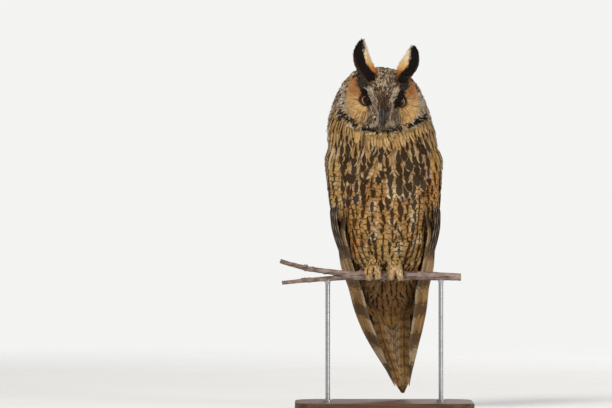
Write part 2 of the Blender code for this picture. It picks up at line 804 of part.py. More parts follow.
def make_perch():
    """A short cut length of the forked branch."""
    pieces = []
    for rows, sides in ((PERCH_MAIN, MAIN_SIDES), (TWIG_UPPER, TWIG_SIDES), (TWIG_LOWER, TWIG_SIDES)):
        path = [row[:3] for row in rows]
        pieces.append(tube("perch", path, [row[3] for row in rows], sides))
    perch = pieces[0]
    boolean(perch, pieces[1:], "UNION")
    perch.name = "perch"
    return keep_largest(perch)


def make_base():
    width, depth, height = BASE_SIZE
    edge = 1.6
    rings = []
    for z, inset in ((height, edge), (height - edge, 0), (edge * 0.6, 0), (0, edge * 0.6)):
        ring = []
        for cx, cy, start in ((1, 1, 0), (-1, 1, 90), (-1, -1, 180), (1, -1, 270)):
            for k in range(6):
                turn = math.radians(start + 18 * k)
                corner = BASE_CORNER - inset
                ring.append(
                    (
                        cx * (width / 2 - BASE_CORNER) + corner * math.cos(turn),
                        cy * (depth / 2 - BASE_CORNER) + corner * math.sin(turn),
                        z,
                    )
                )
        rings.append(ring)
    return lofted("stand_base", rings)


def branch_middle(rows, x):
    """Where a branch's middle line runs at x: its y and z."""
    rows = sorted(rows)
    xs = [row[0] for row in rows]
    return [np.interp(x, xs, [row[k] for row in rows]) for k in (1, 2)]


def make_rods():
    """A rod from the base up to each arm of the perch, its top hollowed to fit the bark."""
    rods = []
    places = (
        ("stand_rod_left", ROD_X, PERCH_MAIN, MAIN_SIDES),
        ("stand_rod_right", -ROD_X, TWIG_LOWER, TWIG_SIDES),
    )
    for name, x, rows, sides in places:
        y, z = branch_middle(rows, x)
        bottom = BASE_SIZE[2] + GAP
        rod = tube(name, [(x, y, bottom), (x, y, z)], [ROD_RADIUS] * 2, 16)
        path = [row[:3] for row in sorted(rows)]
        cutter = tube("saddle", path, [row[3] + GAP for row in sorted(rows)], sides)
        boolean(rod, [cutter], "DIFFERENCE")
        rods.append(keep_largest(rod))
    return rods


def set_pose(obj):
    """Leans the bird as in the photo, and turns and tips its head a little."""
    mesh = obj.data
    points = np.empty(len(mesh.vertices) * 3, np.float32)
    mesh.vertices.foreach_get("co", points)
    points = points.reshape(-1, 3).astype(float) / MM
    x, y, z = points.T
    share = smoothstep(HEAD_MOVES_FROM, HEAD_MOVES_FULLY, z)
    turn = HEAD_TURN * share
    turned = x * np.cos(turn) - y * np.sin(turn)
    y = x * np.sin(turn) + y * np.cos(turn)
    z_new = z - HEAD_TIP * x * share
    points = np.stack([turned + along(LEAN, z), y, z_new], axis=-1)
    mesh.vertices.foreach_set("co", (points * MM).astype(np.float32).ravel())
    mesh.update()


def paint(obj, colour, roughness, metallic=0.0):
    material = bpy.data.materials.new(obj.name)
    material.use_nodes = True
    shader = material.node_tree.nodes["Principled BSDF"]
    shader.inputs["Base Color"].default_value = (*COLOURS[colour], 1.0)
    shader.inputs["Roughness"].default_value = roughness
    shader.inputs["Metallic"].default_value = metallic
    obj.data.materials.clear()
    obj.data.materials.append(material)
    obj.data.shade_smooth()
    obj.data.set_sharp_from_angle(angle=math.radians(40))


def main():
    for obj in list(bpy.data.objects):
        bpy.data.objects.remove(obj)
    bird = [make_head(), make_neck(), make_torso(), make_tail()]
    bird += [make_wing(side) for side in SIDES.values()]
    bird += make_bill()
    for side_name in SIDES:
        bird.append(make_tuft(side_name))
        bird.append(make_eye(side_name))
        bird.append(make_leg(side_name))
        bird += make_foot(side_name)
    for obj in bird:
        set_pose(obj)
        colour = "plumage"
        if obj.name == "head":
            colour = "face"
        elif obj.name.startswith("ear_tuft"):
            colour = "dark"
        elif obj.name.startswith(("bill", "claw")):
            colour = "horn"
        elif obj.name.startswith("eye"):
            colour = "iris"
        elif obj.name.startswith(("leg", "foot")):
            colour = "foot"
        paint(obj, colour, 0.2 if colour in ("iris", "horn") else 0.85)
    paint(make_perch(), "bark", 0.9)
    paint(make_base(), "wood", 0.45)
    for rod in make_rods():
        paint(rod, "steel", 0.35, 1.0)


main()
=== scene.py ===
"""The looks of a life-size long-eared owl on a thin forked branch, held by a plain display stand.

The bird looks along -Y, +X is its left side and +Z is up. Shapes are worked out in millimetres for
a bird that stands straight, then leaned and turned as it sits, and stored in metres.
"""

import itertools
import math

import bpy
import numpy as np
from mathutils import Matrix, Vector
from mathutils.bvhtree import BVHTree


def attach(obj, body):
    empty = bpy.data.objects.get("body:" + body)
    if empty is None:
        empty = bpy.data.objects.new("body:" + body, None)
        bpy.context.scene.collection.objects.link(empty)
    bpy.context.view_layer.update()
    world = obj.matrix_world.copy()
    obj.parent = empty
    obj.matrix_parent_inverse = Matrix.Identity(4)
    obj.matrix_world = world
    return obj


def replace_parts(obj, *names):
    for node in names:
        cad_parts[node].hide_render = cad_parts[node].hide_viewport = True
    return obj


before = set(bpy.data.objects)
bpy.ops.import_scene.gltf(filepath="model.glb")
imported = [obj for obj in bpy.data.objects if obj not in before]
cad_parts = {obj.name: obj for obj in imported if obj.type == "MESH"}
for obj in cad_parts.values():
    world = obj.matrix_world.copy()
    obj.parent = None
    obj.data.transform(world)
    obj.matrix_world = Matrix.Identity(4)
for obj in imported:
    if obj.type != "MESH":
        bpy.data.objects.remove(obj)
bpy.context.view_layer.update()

MM = 0.001
SEED = 11
SIDES = {"right": -1, "left": 1}

# Rows of the bird's outer form from the crown to the tail's tip: height, half width, front, back.
BODY_ROWS = (
    (376.0, 9.0, -19.0, 1.0),
    (372.5, 27.0, -31.0, 15.0),
    (364.0, 36.5, -39.0, 27.0),
    (351.0, 44.5, -44.5, 35.0),
    (338.0, 50.5, -46.0, 40.0),
    (323.0, 55.5, -45.5, 43.5),
    (308.0, 59.5, -45.0, 46.0),
    (294.0, 61.0, -46.0, 47.5),
    (275.0, 59.5, -48.5, 49.0),
    (253.0, 57.0, -50.0, 50.5),
    (231.0, 55.0, -49.0, 51.5),
    (209.0, 52.0, -44.5, 52.0),
    (190.0, 48.5, -37.0, 52.0),
    (177.0, 45.5, -27.0, 51.5),
    (168.0, 43.0, -14.0, 51.0),
    (159.0, 40.5, -1.0, 50.5),
    (148.0, 37.5, 8.5, 50.0),
    (135.0, 34.0, 14.5, 50.0),
    (110.0, 30.5, 22.0, 52.0),
    (80.0, 23.5, 31.0, 55.5),
    (50.0, 15.5, 40.0, 58.5),
    (20.0, 7.0, 48.0, 61.0),
)
BODY_SQUARENESS = 0.9
TORSO_BOTTOM = 135.0

# How the bird leans: its middle line moves along X with height, the head turns and tips.
LEAN = (
    (400, -4.5), (340, -4.5), (310, -3.8), (286, -1.0), (253, 0.0), (209, 1.5), (165, 3.5), (121, 6.5),
    (77, 11.0), (33, 19.0), (10, 22.5),
)
HEAD_TURN = math.radians(4.3)
HEAD_TIP = 0.045
HEAD_MOVES_FROM = 300.0
HEAD_MOVES_FULLY = 326.0

# The face
EYE = (18.9, -34.2, 339.0)
EYE_RADIUS = 7.6
EYE_OPENING = (6.2, 4.9)
EYE_SLANT = math.radians(14)
GAZE_INWARD = 0.16
PUPIL = 0.63
IRIS = 0.94
DISC_CENTRE = (21.0, 338.5)
DISC_RADII = (17.5, 27.5)
DISC_EDGE = 0.94
DISC_DEPTH = 5.2
RIM_HEIGHT = 1.8
# The pale brow: how far it runs from the middle of the face at each height.
BROW_LINE = (
    (310, 2.6), (319, 3.4), (331, 5.0), (337, 6.8), (344.6, 10.4), (350, 14.2), (355, 18.0), (364, 22.0),
)
BROW_HEIGHT = 2.4
BROW_HALF_WIDTH = 0.8
FACE_BOTTOM = 309
FACE_SIDES_Y = -20
# The black line under the face: its height at each distance from the middle.
RUFF_LINE = ((0, 308.5), (13, 310.0), (25, 313.5), (37, 319.5), (50, 329.0), (60, 338.0))
BRIDGE_HEIGHT = 4.5

# The coat's depth over the skin
COAT_TORSO = 2.4
COAT_HOOD = 1.8
COAT_FACE = 1.1

PERCH_Y = -12.0
PERCH_Z = 148.0
PERCH_RADIUS = 4.8
FEET_MIDDLE = -4.5
FEET_SPACING = 24.0
BASE_SIZE = (196.0, 140.0, 10.0)
BASE_CORNER = 30.0
BASE_EDGE = 2.0
ROD_RADIUS = 2.5
ROD_X = 62.0


def srgb(red, green, blue):
    """A linear colour from values of 0 to 255 as seen on a screen."""
    values = np.array([red, green, blue]) / 255
    return np.where(values <= 0.04045, values / 12.92, ((values + 0.055) / 1.055) ** 2.4)


BLACK = srgb(18, 12, 9)
DARK = srgb(44, 30, 19)
BROWN = srgb(94, 66, 40)
BUFF = srgb(170, 126, 60)
CREAM = srgb(203, 166, 104)
WHITE = srgb(226, 214, 192)
RUST = srgb(164, 92, 40)
ORANGE = srgb(190, 114, 44)
ORANGE_RUST = srgb(152, 80, 26)
DISC_BUFF = srgb(216, 174, 116)
GREY = srgb(150, 130, 108)


def hermite(rows, at):
    """Smooth values at positions counted in rows, through every row of a table."""
    rows = np.asarray(rows, float)
    at = np.clip(np.asarray(at, float), 0, len(rows) - 1)
    slopes = np.gradient(rows, axis=0)
    first = np.minimum(at.astype(int), len(rows) - 2)
    t = (at - first)[..., None]
    return (
        (1 + 2 * t) * (1 - t) ** 2 * rows[first]
        + t * (1 - t) ** 2 * slopes[first]
        + t * t * (3 - 2 * t) * rows[first + 1]
        + t * t * (t - 1) * slopes[first + 1]
    )


BODY_TABLE = hermite(BODY_ROWS, np.linspace(0, len(BODY_ROWS) - 1, 1200))[::-1]


def along(stations, z):
    """A value at height z, read smoothly from a few (height, value) stations."""
    stations = sorted(stations)
    place = np.interp(z, [s[0] for s in stations], range(len(stations)))
    return hermite([[s[1]] for s in stations], place)[..., 0]


def smoothstep(low, high, value):
    t = np.clip((np.asarray(value, float) - low) / (high - low), 0, 1)
    return t * t * (3 - 2 * t)


def bump(value, middle, reach):
    return np.exp(-(((np.asarray(value, float) - middle) / reach) ** 2))


def unit(vectors):
    """The same directions with a length of 1."""
    return vectors / np.linalg.norm(vectors, axis=-1, keepdims=True)


def full_turn(count):
    """Angles evenly round a circle."""
    return np.linspace(0, 2 * math.pi, count, endpoint=False)


def signed_power(value, power):
    return np.sign(value) * np.abs(value) ** power


def line_at(stations, at):
    """A value read straight from a few (place, value) stations."""
    places, values = zip(*stations)
    return np.interp(at, places, values)


def face_relief(x, z):
    """How far the face stands proud of the plain oval head, at a point of its front."""
    u = np.abs(x)
    rho = np.hypot((u - DISC_CENTRE[0]) / DISC_RADII[0], (z - DISC_CENTRE[1]) / DISC_RADII[1])
    dish = -DISC_DEPTH * np.clip(1 - rho**2, 0, 1)
    rim = RIM_HEIGHT * bump(rho, 1.03, 0.11) * smoothstep(8, 22, u)
    bridge = BRIDGE_HEIGHT * bump(u, 0, 6.5) * smoothstep(306, 322, z)
    bridge = bridge * (1 - 0.7 * smoothstep(340, 368, z))
    brow = BROW_HEIGHT * bump(u, line_at(BROW_LINE, z), 3.4)
    brow = brow * smoothstep(322, 334, z) * (1 - smoothstep(360, 371, z))
    chin = -2.5 * bump(z, 305.5, 3.5) * (1 - smoothstep(30, 46, u))
    return dish + rim + bridge + brow + chin


def form_at(z):
    """The outer form's half width, front and back at a height."""
    return [np.interp(z, BODY_TABLE[:, 0], BODY_TABLE[:, k]) for k in (1, 2, 3)]


def body_points(z, angle, outward=0.0):
    """Points of the outer form. The angle is 0 at the breast, 90 degrees at the side, 180 at the back."""
    z, angle = np.broadcast_arrays(np.asarray(z, float), np.asarray(angle, float))
    half, front, back = form_at(z)
    middle, depth = (front + back) / 2, (back - front) / 2
    x = (half + outward) * signed_power(np.sin(angle), BODY_SQUARENESS)
    y = middle - (depth + outward) * signed_power(np.cos(angle), BODY_SQUARENESS)
    facing = smoothstep(0.15, 0.6, np.cos(angle)) * smoothstep(300, 309, z)
    y = y - facing * face_relief(x, z)
    return np.stack([x, y, z], axis=-1)


def posed(points):
    """Leans the bird, and turns and tips its head a little."""
    x, y, z = np.asarray(points, float).reshape(-1, 3).T
    share = smoothstep(HEAD_MOVES_FROM, HEAD_MOVES_FULLY, z)
    turn = HEAD_TURN * share
    turned = x * np.cos(turn) - y * np.sin(turn)
    y = x * np.sin(turn) + y * np.cos(turn)
    return np.stack([turned + along(LEAN, z), y, z - HEAD_TIP * x * share], axis=-1)


def unwrap(points):
    """A place from 0 to 1 for each point on an unrolled skin: round the body, and up it over the crown."""
    x, y, z = np.asarray(points, float).reshape(-1, 3).T
    around = np.arctan2(x, 4 - y) / (2 * math.pi) + 0.5
    up = 0.8 * (z - 15) / 395 + 0.2 * np.clip(1 - np.hypot(x, y - 2) / 62, 0, 1)
    return np.stack([around, up], axis=-1)


def add_mesh(name, points, triangles, material, uvs=None, colours=None, bird=True):
    """A mesh object from points in millimetres and triangles, with UV maps and colours by point."""
    points = posed(points) if bird else np.asarray(points, float)
    triangles = np.asarray(triangles, np.int32)
    mesh = bpy.data.meshes.new(name)
    mesh.vertices.add(len(points))
    mesh.vertices.foreach_set("co", (points * MM).astype(np.float32).ravel())
    mesh.loops.add(triangles.size)
    mesh.loops.foreach_set("vertex_index", triangles.ravel())
    mesh.polygons.add(len(triangles))
    mesh.polygons.foreach_set("loop_start", np.arange(0, triangles.size, 3, dtype=np.int32))
    mesh.polygons.foreach_set("use_smooth", np.ones(len(triangles), bool))
    mesh.update(calc_edges=True)
    for uv_name, uv in (uvs or {}).items():
        layer = mesh.uv_layers.new(name=uv_name)
        layer.data.foreach_set("uv", uv[triangles.ravel()].astype(np.float32).ravel())
    for colour_name, colour in (colours or {}).items():
        layer = mesh.color_attributes.new(colour_name, "FLOAT_COLOR", "POINT")
        layer.data.foreach_set("color", colour.astype(np.float32).ravel())
    mesh.materials.append(material)
    obj = bpy.data.objects.new(name, mesh)
    bpy.context.scene.collection.objects.link(obj)
    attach(obj, "root")
    return obj


def grid_triangles(rows, columns, wrap=False):
    """Triangles over a grid of points, facing the side where rows run down and columns run left to right."""
    i, j = np.meshgrid(np.arange(rows - 1), np.arange(columns if wrap else columns - 1), indexing="ij")
    a, b = (i * columns + j).ravel(), (i * columns + (j + 1) % columns).ravel()
    c, d = a + columns, b + columns
    return np.concatenate([np.stack([a, d, b], 1), np.stack([a, c, d], 1)])


class Coat:
    """Gathers feathers of one piece: their points, triangles, maps and colours."""

    def __init__(self):
        self.points, self.triangles, self.uvs, self.bakes, self.colours = [], [], [], [], []
        self.count = 0

    def add(self, points, triangles, vane, roots, look):
        """points is (feathers, points, 3). vane is (points, 2), or one for each feather."""
        feathers, size = points.shape[:2]
        vane = np.broadcast_to(vane, (feathers, size, 2))
        starts = self.count + size * np.arange(feathers)[:, None, None]
        self.points.append(points.reshape(-1, 3))
        self.triangles.append((triangles[None] + starts).reshape(-1, 3))
        self.uvs.append(vane.reshape(-1, 2))
        patch = unwrap(roots)[:, None, :] + BAKE_PATCH * (vane - 0.5)
        self.bakes.append(patch.reshape(-1, 2))
        self.colours.append(np.repeat(look, size, axis=0))
        self.count += feathers * size

    def add_painted(self, points, triangles, vane, root, look):
        """One feather whose colours change from point to point."""
        self.points.append(points)
        self.triangles.append(triangles + self.count)
        self.uvs.append(vane)
        self.bakes.append(unwrap(root) + BAKE_PATCH * (vane - 0.5))
        self.colours.append(look)
        self.count += len(points)

    def piece(self, piece_name, material, slot):
        colours = np.concatenate(self.colours)
        names = ("ground", "dark", "marks", "edges")
        layers = {name: colours[:, 4 * k:4 * k + 4] for k, name in enumerate(names)}
        uvs = {"OFBake": np.concatenate(self.bakes), "Vane": np.concatenate(self.uvs)}
        points, triangles = np.concatenate(self.points), np.concatenate(self.triangles)
        obj = add_mesh(piece_name, points, triangles, material, uvs, layers)
        return obj


BAKE_PATCH = 0.003
# Columns of a feather's row of colours and marks
GROUND = slice(0, 3)
STREAK, BARS, PHASE, FLECK = 8, 9, 11, 13


def look(
    count, ground, dark, streak=0.0, bars=0.0, bar_count=3.0, fleck=0.0, pale_edge=0.0, tip=0.0, thin=0.3,
    random=None,
):
    """Colours and marks of feathers, one row each: ground, dark, then the marks that the material draws."""

    def spread(value, width):
        return np.broadcast_to(np.asarray(value, float).reshape(-1, width), (count, width))

    phase = random.uniform(0, 1, (count, 1)) if random is not None else np.zeros((count, 1))
    one = np.ones((count, 1))
    parts = [spread(ground, 3), one, spread(dark, 3), one]
    parts += [spread(streak, 1), spread(bars, 1), spread(bar_count, 1) / 10, phase]
    parts += [spread(pale_edge, 1), spread(fleck, 1), spread(tip, 1), spread(thin, 1)]
    return np.concatenate(parts, axis=1)


def grow(bed, roots, headings, lengths, stations):
    """Paths of feathers over a bed: from each root along its heading, kept on the surface all the way."""
    paths = np.empty((len(roots), len(stations), 3))
    normals = np.empty_like(paths)
    steps = np.diff(stations)
    for i, (root, heading) in enumerate(zip(roots, headings)):
        at, normal, _, _ = bed.find_nearest(Vector(root))
        heading = Vector(heading)
        paths[i, 0], normals[i, 0] = at, normal
        for k, step in enumerate(steps):
            heading = (heading - normal * heading.dot(normal)).normalized()
            at, normal, _, _ = bed.find_nearest(at + heading * (lengths[i] * step))
            paths[i, k + 1], normals[i, k + 1] = at, normal
    normals[:, 1:-1] = normals[:, :-2] + normals[:, 1:-1] + normals[:, 2:]
    return paths, unit(normals)


# Forms of feathers: stations along, share of the width at each, columns across, length of the tip's barbs.
CONTOUR = {
    "stations": np.array([0.0, 0.16, 0.32, 0.48, 0.64, 0.78, 0.9]),
    "outline": np.array([0.3, 0.68, 0.9, 1.0, 0.97, 0.84, 0.58]),
    "across": np.linspace(-1, 1, 11),
    "barbs": 0.085,
    "loose": 34,
}
SMALL = {
    "stations": np.array([0.0, 0.3, 0.6, 0.88]),
    "outline": np.array([0.4, 0.9, 1.0, 0.65]),
    "across": np.linspace(-1, 1, 5),
    "barbs": 0.16,
    "loose": 6,
}
STRAND = {
    "stations": np.array([0.0, 0.35, 0.7, 0.95]),
    "outline": np.array([0.7, 1.0, 0.75, 0.3]),
    "across": np.array([-1.0, 1.0]),
    "barbs": 0.08,
    "loose": 0,
}
SMALL_DISC = {
    "stations": np.array([0.0, 0.35, 0.7, 0.9]),
    "outline": np.array([0.5, 1.0, 0.9, 0.5]),
    "across": np.array([-1.0, 0.0, 1.0]),
    "barbs": 0.14,
    "loose": 0,
}

ROOT_RISE = 0.05
# How far a feather's edges bend down to the bed, as a share of its half width
CAMBER = 0.16


def add_feathers(
    coat, bed, random, roots, headings, lengths, widths, rises, look_rows, form, root_rise=ROOT_RISE,
):
    """Feathers grown over a bed with frayed edges. rises is how far each tip stands off the bed."""
    stations, across = form["stations"], form["across"]
    paths, normals = grow(bed, roots, headings, lengths, stations)
    forward = np.gradient(paths, axis=1)
    forward /= np.linalg.norm(forward, axis=2, keepdims=True) + 1e-9
    side = np.cross(normals, forward)
    count, rows, columns = len(roots), len(stations), len(across)
    half = (np.asarray(widths)[:, None] / 2) * form["outline"]
    height = root_rise + (np.asarray(rises)[:, None] - root_rise) * stations**1.15
    drop = CAMBER * half[:, :, None] * across**2
    points = paths[:, :, None] + side[:, :, None] * (half[:, :, None] * across)[..., None]
    points = points + normals[:, :, None] * (height[:, :, None] - drop)[..., None]
    vane = np.stack(np.meshgrid(across / 2 + 0.5, stations), axis=-1).reshape(-1, 2)
    extra, extra_vane, extra_faces = [], [], []

    def on_vane(place, sideways, lift):
        """A point over each feather, at a share of its length and of its half width."""
        low = min(int(np.searchsorted(stations, place, side="right")) - 1, rows - 2)
        part = (place - stations[low]) / (stations[low + 1] - stations[low])
        middle = paths[:, low] * (1 - part) + paths[:, low + 1] * part
        wide = half[:, low] * (1 - min(part, 1)) + half[:, low + 1] * min(part, 1)
        off = height[:, low] * (1 - part) + height[:, low + 1] * part + lift
        off = off - CAMBER * wide * min(sideways**2, 1.6)
        return middle + side[:, low] * (wide * sideways)[:, None] + normals[:, low] * off[:, None]

    # Barbs past the tip, one between each two columns
    last = (rows - 1) * columns
    for j, t in enumerate((across[:-1] + across[1:]) / 2):
        reach = np.asarray(lengths) * form["barbs"] * (1.25 - 0.7 * t * t) * random.uniform(0.6, 1.3, count)
        tip = paths[:, -1] + forward[:, -1] * reach[:, None] + side[:, -1] * (half[:, -1] * t)[:, None]
        extra.append(tip + normals[:, -1] * (height[:, -1] - 0.1 * half[:, -1])[:, None])
        extra_vane.append((t / 2 + 0.5, 1.0))
        extra_faces.append((last + j, rows * columns + len(extra) - 1, last + j + 1))
    # Loose barbs along both edges
    for k in range(form["loose"]):
        sign = 1 if k % 2 else -1
        start = random.uniform(0.3, 0.88)
        sideways, thin = sign * random.uniform(0.45, 0.95), random.uniform(0.015, 0.03)
        lift = random.uniform(0.05, 0.45)
        end = start + random.uniform(0.1, 0.2)
        out = sideways + sign * random.uniform(0.15, 0.5) * (1 - 0.5 * start)
        foot = ((start, sideways, 0.3 * lift), (start + thin, sideways + 0.02 * sign, 0.3 * lift))
        first = rows * columns + len(extra)
        for place in (*foot, (end, out, lift)):
            extra.append(on_vane(*place))
            extra_vane.append((np.clip(place[1], -1, 1) / 2 + 0.5, min(place[0], 1.0)))
        extra_faces.append((first, first + 1, first + 2) if sign > 0 else (first, first + 2, first + 1))
    points = np.concatenate([points.reshape(count, -1, 3), np.stack(extra, axis=1)], axis=1)
    triangles = np.concatenate([grid_triangles(rows, columns), extra_faces])
    coat.add(points, triangles, np.concatenate([vane, extra_vane]), np.asarray(roots), look_rows)


# Materials


class Nodes:
    """Builds a material's nodes: sockets or plain values go in, sockets come out."""

    def __init__(self, name):
        self.material = bpy.data.materials.new(name)
        self.material.use_nodes = True
        self.tree = self.material.node_tree
        self.shader = self.tree.nodes["Principled BSDF"]

    def put(self, socket, value):
        if isinstance(value, bpy.types.NodeSocket):
            self.tree.links.new(value, socket)
        elif value is not None:
            colour = hasattr(value, "__len__") and socket.type == "RGBA" and len(value) == 3
            socket.default_value = (*value, 1.0) if colour else value

    def add(self, kind, settings=None, **inputs):
        node = self.tree.nodes.new(kind)
        for key, value in (settings or {}).items():
            setattr(node, key, value)
        for key, value in inputs.items():
            self.put(node.inputs[key.replace("_", " ")], value)
        return node

    def math(self, operation, *values):
        node = self.add("ShaderNodeMath", {"operation": operation})
        for socket, value in zip(node.inputs, values):
            self.put(socket, value)
        return node.outputs[0]

    def plus(self, first, second):
        return self.math("ADD", first, second)

    def minus(self, first, second):
        return self.math("SUBTRACT", first, second)

    def times(self, first, second):
        return self.math("MULTIPLY", first, second)

    def times_plus(self, first, second, third):
        return self.math("MULTIPLY_ADD", first, second, third)

    def length(self, first, second):
        """The root of the sum of two squares."""
        return self.math("SQRT", self.plus(self.times(first, first), self.times(second, second)))

    def step(self, value, low, high, to_low=0.0, to_high=1.0):
        """A smooth step from one value to another as value goes from low to high."""
        node = self.add("ShaderNodeMapRange", {"interpolation_type": "SMOOTHSTEP"})
        for socket, given in zip(node.inputs, (value, low, high, to_low, to_high)):
            self.put(socket, given)
        return node.outputs["Result"]

    def mix(self, factor, first, second, blend="MIX"):
        node = self.add("ShaderNodeMix", {"data_type": "RGBA", "blend_type": blend})
        for index, value in ((0, factor), (6, first), (7, second)):
            self.put(node.inputs[index], value)
        return node.outputs[2]

    def attribute(self, name):
        return self.add("ShaderNodeAttribute", {"attribute_name": name}).outputs

    def place(self):
        """Where a point of the object is, in metres."""
        return self.add("ShaderNodeTexCoord").outputs["Object"]

    def stretched(self, where, scales):
        return self.add("ShaderNodeMapping", Vector=where, Scale=scales).outputs[0]

    def noise(self, scale, detail, roughness=0.5, vector=None, distortion=0.0):
        numbers = {"Scale": scale, "Detail": detail, "Roughness": roughness, "Distortion": distortion}
        node = self.add("ShaderNodeTexNoise", **numbers)
        self.put(node.inputs["Vector"], vector or self.place())
        return node.outputs["Fac"]

    def uv(self, name):
        return self.split(self.add("ShaderNodeUVMap", {"uv_map": name}).outputs[0])

    def vector(self, x, y, z=0.0):
        return self.add("ShaderNodeCombineXYZ", X=x, Y=y, Z=z).outputs[0]

    def split(self, vector):
        return self.add("ShaderNodeSeparateXYZ", Vector=vector).outputs

    def relief(self, height, strength, distance):
        node = self.add("ShaderNodeBump", Strength=strength, Distance=distance, Height=height)
        self.put(self.shader.inputs["Normal"], node.outputs[0])

    def finish(self, colour, roughness, **settings):
        self.put(self.shader.inputs["Base Color"], colour)
        self.put(self.shader.inputs["Roughness"], roughness)
        for key, value in settings.items():
            self.shader.inputs[key.replace("_", " ")].default_value = value
        return self.material


def plumage_material(name, barb_lines=34.0, gloss=0.72, loose=0.6):
    """Feathers with shaft streaks, crossbars, flecks and pale edges, as each feather's row has them, and
    painted shade at their roots.
    """
    n = Nodes(name)
    vane = n.uv("Vane")
    ground, dark = n.attribute("ground")["Color"], n.attribute("dark")["Color"]
    marks, edges = n.attribute("marks"), n.attribute("edges")
    streak, bars, bar_count = n.split(marks["Color"])
    phase = marks["Alpha"]
    pale, fleck, tip = n.split(edges["Color"])
    wobble = n.minus(n.noise(420.0, 2.0), 0.5)
    across = n.math("ABSOLUTE", n.times_plus(vane[0], 2.0, -1.0))
    barb = n.times_plus(across, barb_lines * 0.5, n.times(vane[1], barb_lines))
    row = n.vector(n.times(barb, 0.9), n.times(phase, 37.0))
    ragged = n.minus(n.noise(1.0, 2.0, 0.6, row), 0.5)
    across = n.plus(across, n.times(wobble, loose))
    across = n.plus(across, n.times(ragged, 0.42))
    down = n.times_plus(ragged, 0.05, n.times_plus(wobble, 0.12, vane[1]))
    wide = n.times(n.step(vane[1], 0.1, 0.7, 0.5, 1.2), n.step(vane[1], 0.75, 1.02, 1.0, 0.55))
    wide = n.times(streak, wide)
    line = n.step(n.minus(wide, across), -0.07, 0.07)
    line = n.times(line, n.step(streak, 0.01, 0.04))
    turns = n.times(bar_count, 10.0)
    place = n.times_plus(down, turns, n.times_plus(across, -0.2, phase))
    wave = n.math("SINE", n.times(place, 2 * math.pi))
    thin = edges["Alpha"]
    bar = n.step(n.minus(wave, thin), -0.22, 0.22)
    bar = n.times(bar, bars)
    speckle = n.times(n.step(n.noise(900.0, 3.0, 0.6), 0.5, 0.6), fleck)
    wear = n.times(n.step(n.noise(70.0, 2.0), 0.35, 0.7), 0.3)
    worn = n.mix(wear, ground, n.mix(0.5, ground, dark))
    paler = n.mix(0.55, ground, WHITE)
    colour = n.mix(n.times(n.step(across, 0.55, 0.95), pale), worn, paler)
    mask = n.math("MAXIMUM", line, n.math("MAXIMUM", bar, speckle))
    mask = n.math("MAXIMUM", mask, n.times(n.step(down, 0.72, 0.92), tip))
    colour = n.mix(n.times(mask, 0.92), colour, dark)
    # Faint barb lines, and painted shade at each feather's root where the feathers lying over it shade it;
    # partly also the darker down at a feather's base.
    barbs = n.math("SINE", n.times(barb, 2 * math.pi))
    shade = n.times_plus(barbs, 0.07, n.step(vane[1], 0.0, 0.35, 0.6, 1.0))
    colour = n.mix(1.0, colour, n.vector(shade, shade, shade), "MULTIPLY")
    n.relief(barbs, 0.25, 0.0002)
    return n.finish(colour, gloss, Sheen_Weight=0.02, Sheen_Roughness=0.5, Specular_IOR_Level=0.06)


def skin_material():
    """Short down under the feathers, in the colours of the coat over it."""
    n = Nodes("skin_down")
    ground = n.attribute("ground")["Color"]
    fine = n.noise(1400.0, 3.0, 0.6)
    colour = n.mix(n.step(fine, 0.35, 0.65, 0.0, 0.5), ground, DARK)
    n.relief(fine, 0.6, 0.0006)
    return n.finish(colour, 0.9, Specular_IOR_Level=0.15)


MATERIALS = {
    "plumage": plumage_material("plumage"),
    "flight": plumage_material("flight_plumage", 60.0, 0.6, 0.2),
    "skin": skin_material(),
}


# The bed: skin and the flesh of the wings

TAIL_LINE = ((135, 33), (110, 37), (80, 42), (50, 48), (17, 53))
RUMP_HALF_WIDTH = ((135, 32), (125, 27), (112, 20), (100, 12), (92, 6))
RUMP_THICKNESS = ((135, 33), (125, 25), (112, 14), (100, 7), (92, 3))
SKIN_COLUMNS = 120


def coat_depth(z, angle):
    front = smoothstep(0.2, 0.6, np.cos(angle))
    head = smoothstep(296, 310, z)
    return COAT_TORSO + head * (COAT_HOOD - COAT_TORSO + front * (COAT_FACE - COAT_HOOD))


def skin_rings():
    """Rings of the skin from the crown to the root of the tail."""
    angle = full_turn(SKIN_COLUMNS)
    angle = angle - 0.35 * np.sin(angle)
    heights = [376.0, 375.6, 374.8, 373.4, 371.4, 368.8, 366.0]
    rings = []
    for z in (*heights, *np.linspace(363.5, 300, 52), *np.linspace(297, TORSO_BOTTOM + 1, 40)):
        depth = coat_depth(z, angle)
        ring = body_points(z, angle, -depth)
        ring[:, 2] -= depth * smoothstep(350, 370, z)
        rings.append(ring)
    for z in np.linspace(131, 94, 12):
        half, thick, y = (along(rows, z) for rows in (RUMP_HALF_WIDTH, RUMP_THICKNESS, TAIL_LINE))
        rings.append(directions(half * np.sin(angle), y - thick / 2 * np.cos(angle), z))
    return np.array(rings)


def closed_rings(rings):
    """Points and triangles of a skin through rings, with both ends filled from their middles."""
    count, columns = rings.shape[:2]
    points = np.concatenate([rings.reshape(-1, 3), rings[0].mean(0)[None], rings[-1].mean(0)[None]])
    j = np.arange(columns)
    k = (j + 1) % columns
    hub, last = count * columns, (count - 1) * columns
    caps = [directions(hub, j, k), directions(hub + 1, last + k, last + j)]
    return points, np.concatenate([grid_triangles(count, columns, wrap=True)] + caps)


WING_FRONT = ((300, 66), (292, 60), (272, 52), (231, 50), (200, 58), (178, 68))
WING_BACK = ((300, 152), (292, 158), (272, 170), (231, 172), (178, 168))
WING_THICKNESS = ((292, 1.5), (275, 5.0), (231, 5.8), (165, 6.0), (110, 4.5), (60, 2.6), (18, 1.2))
WING_CORE_SUNK = 1.9
WING_EDGE_RISE = -2.9
VANE_TILT = 0.21
ROOT_SUNK = 4.5


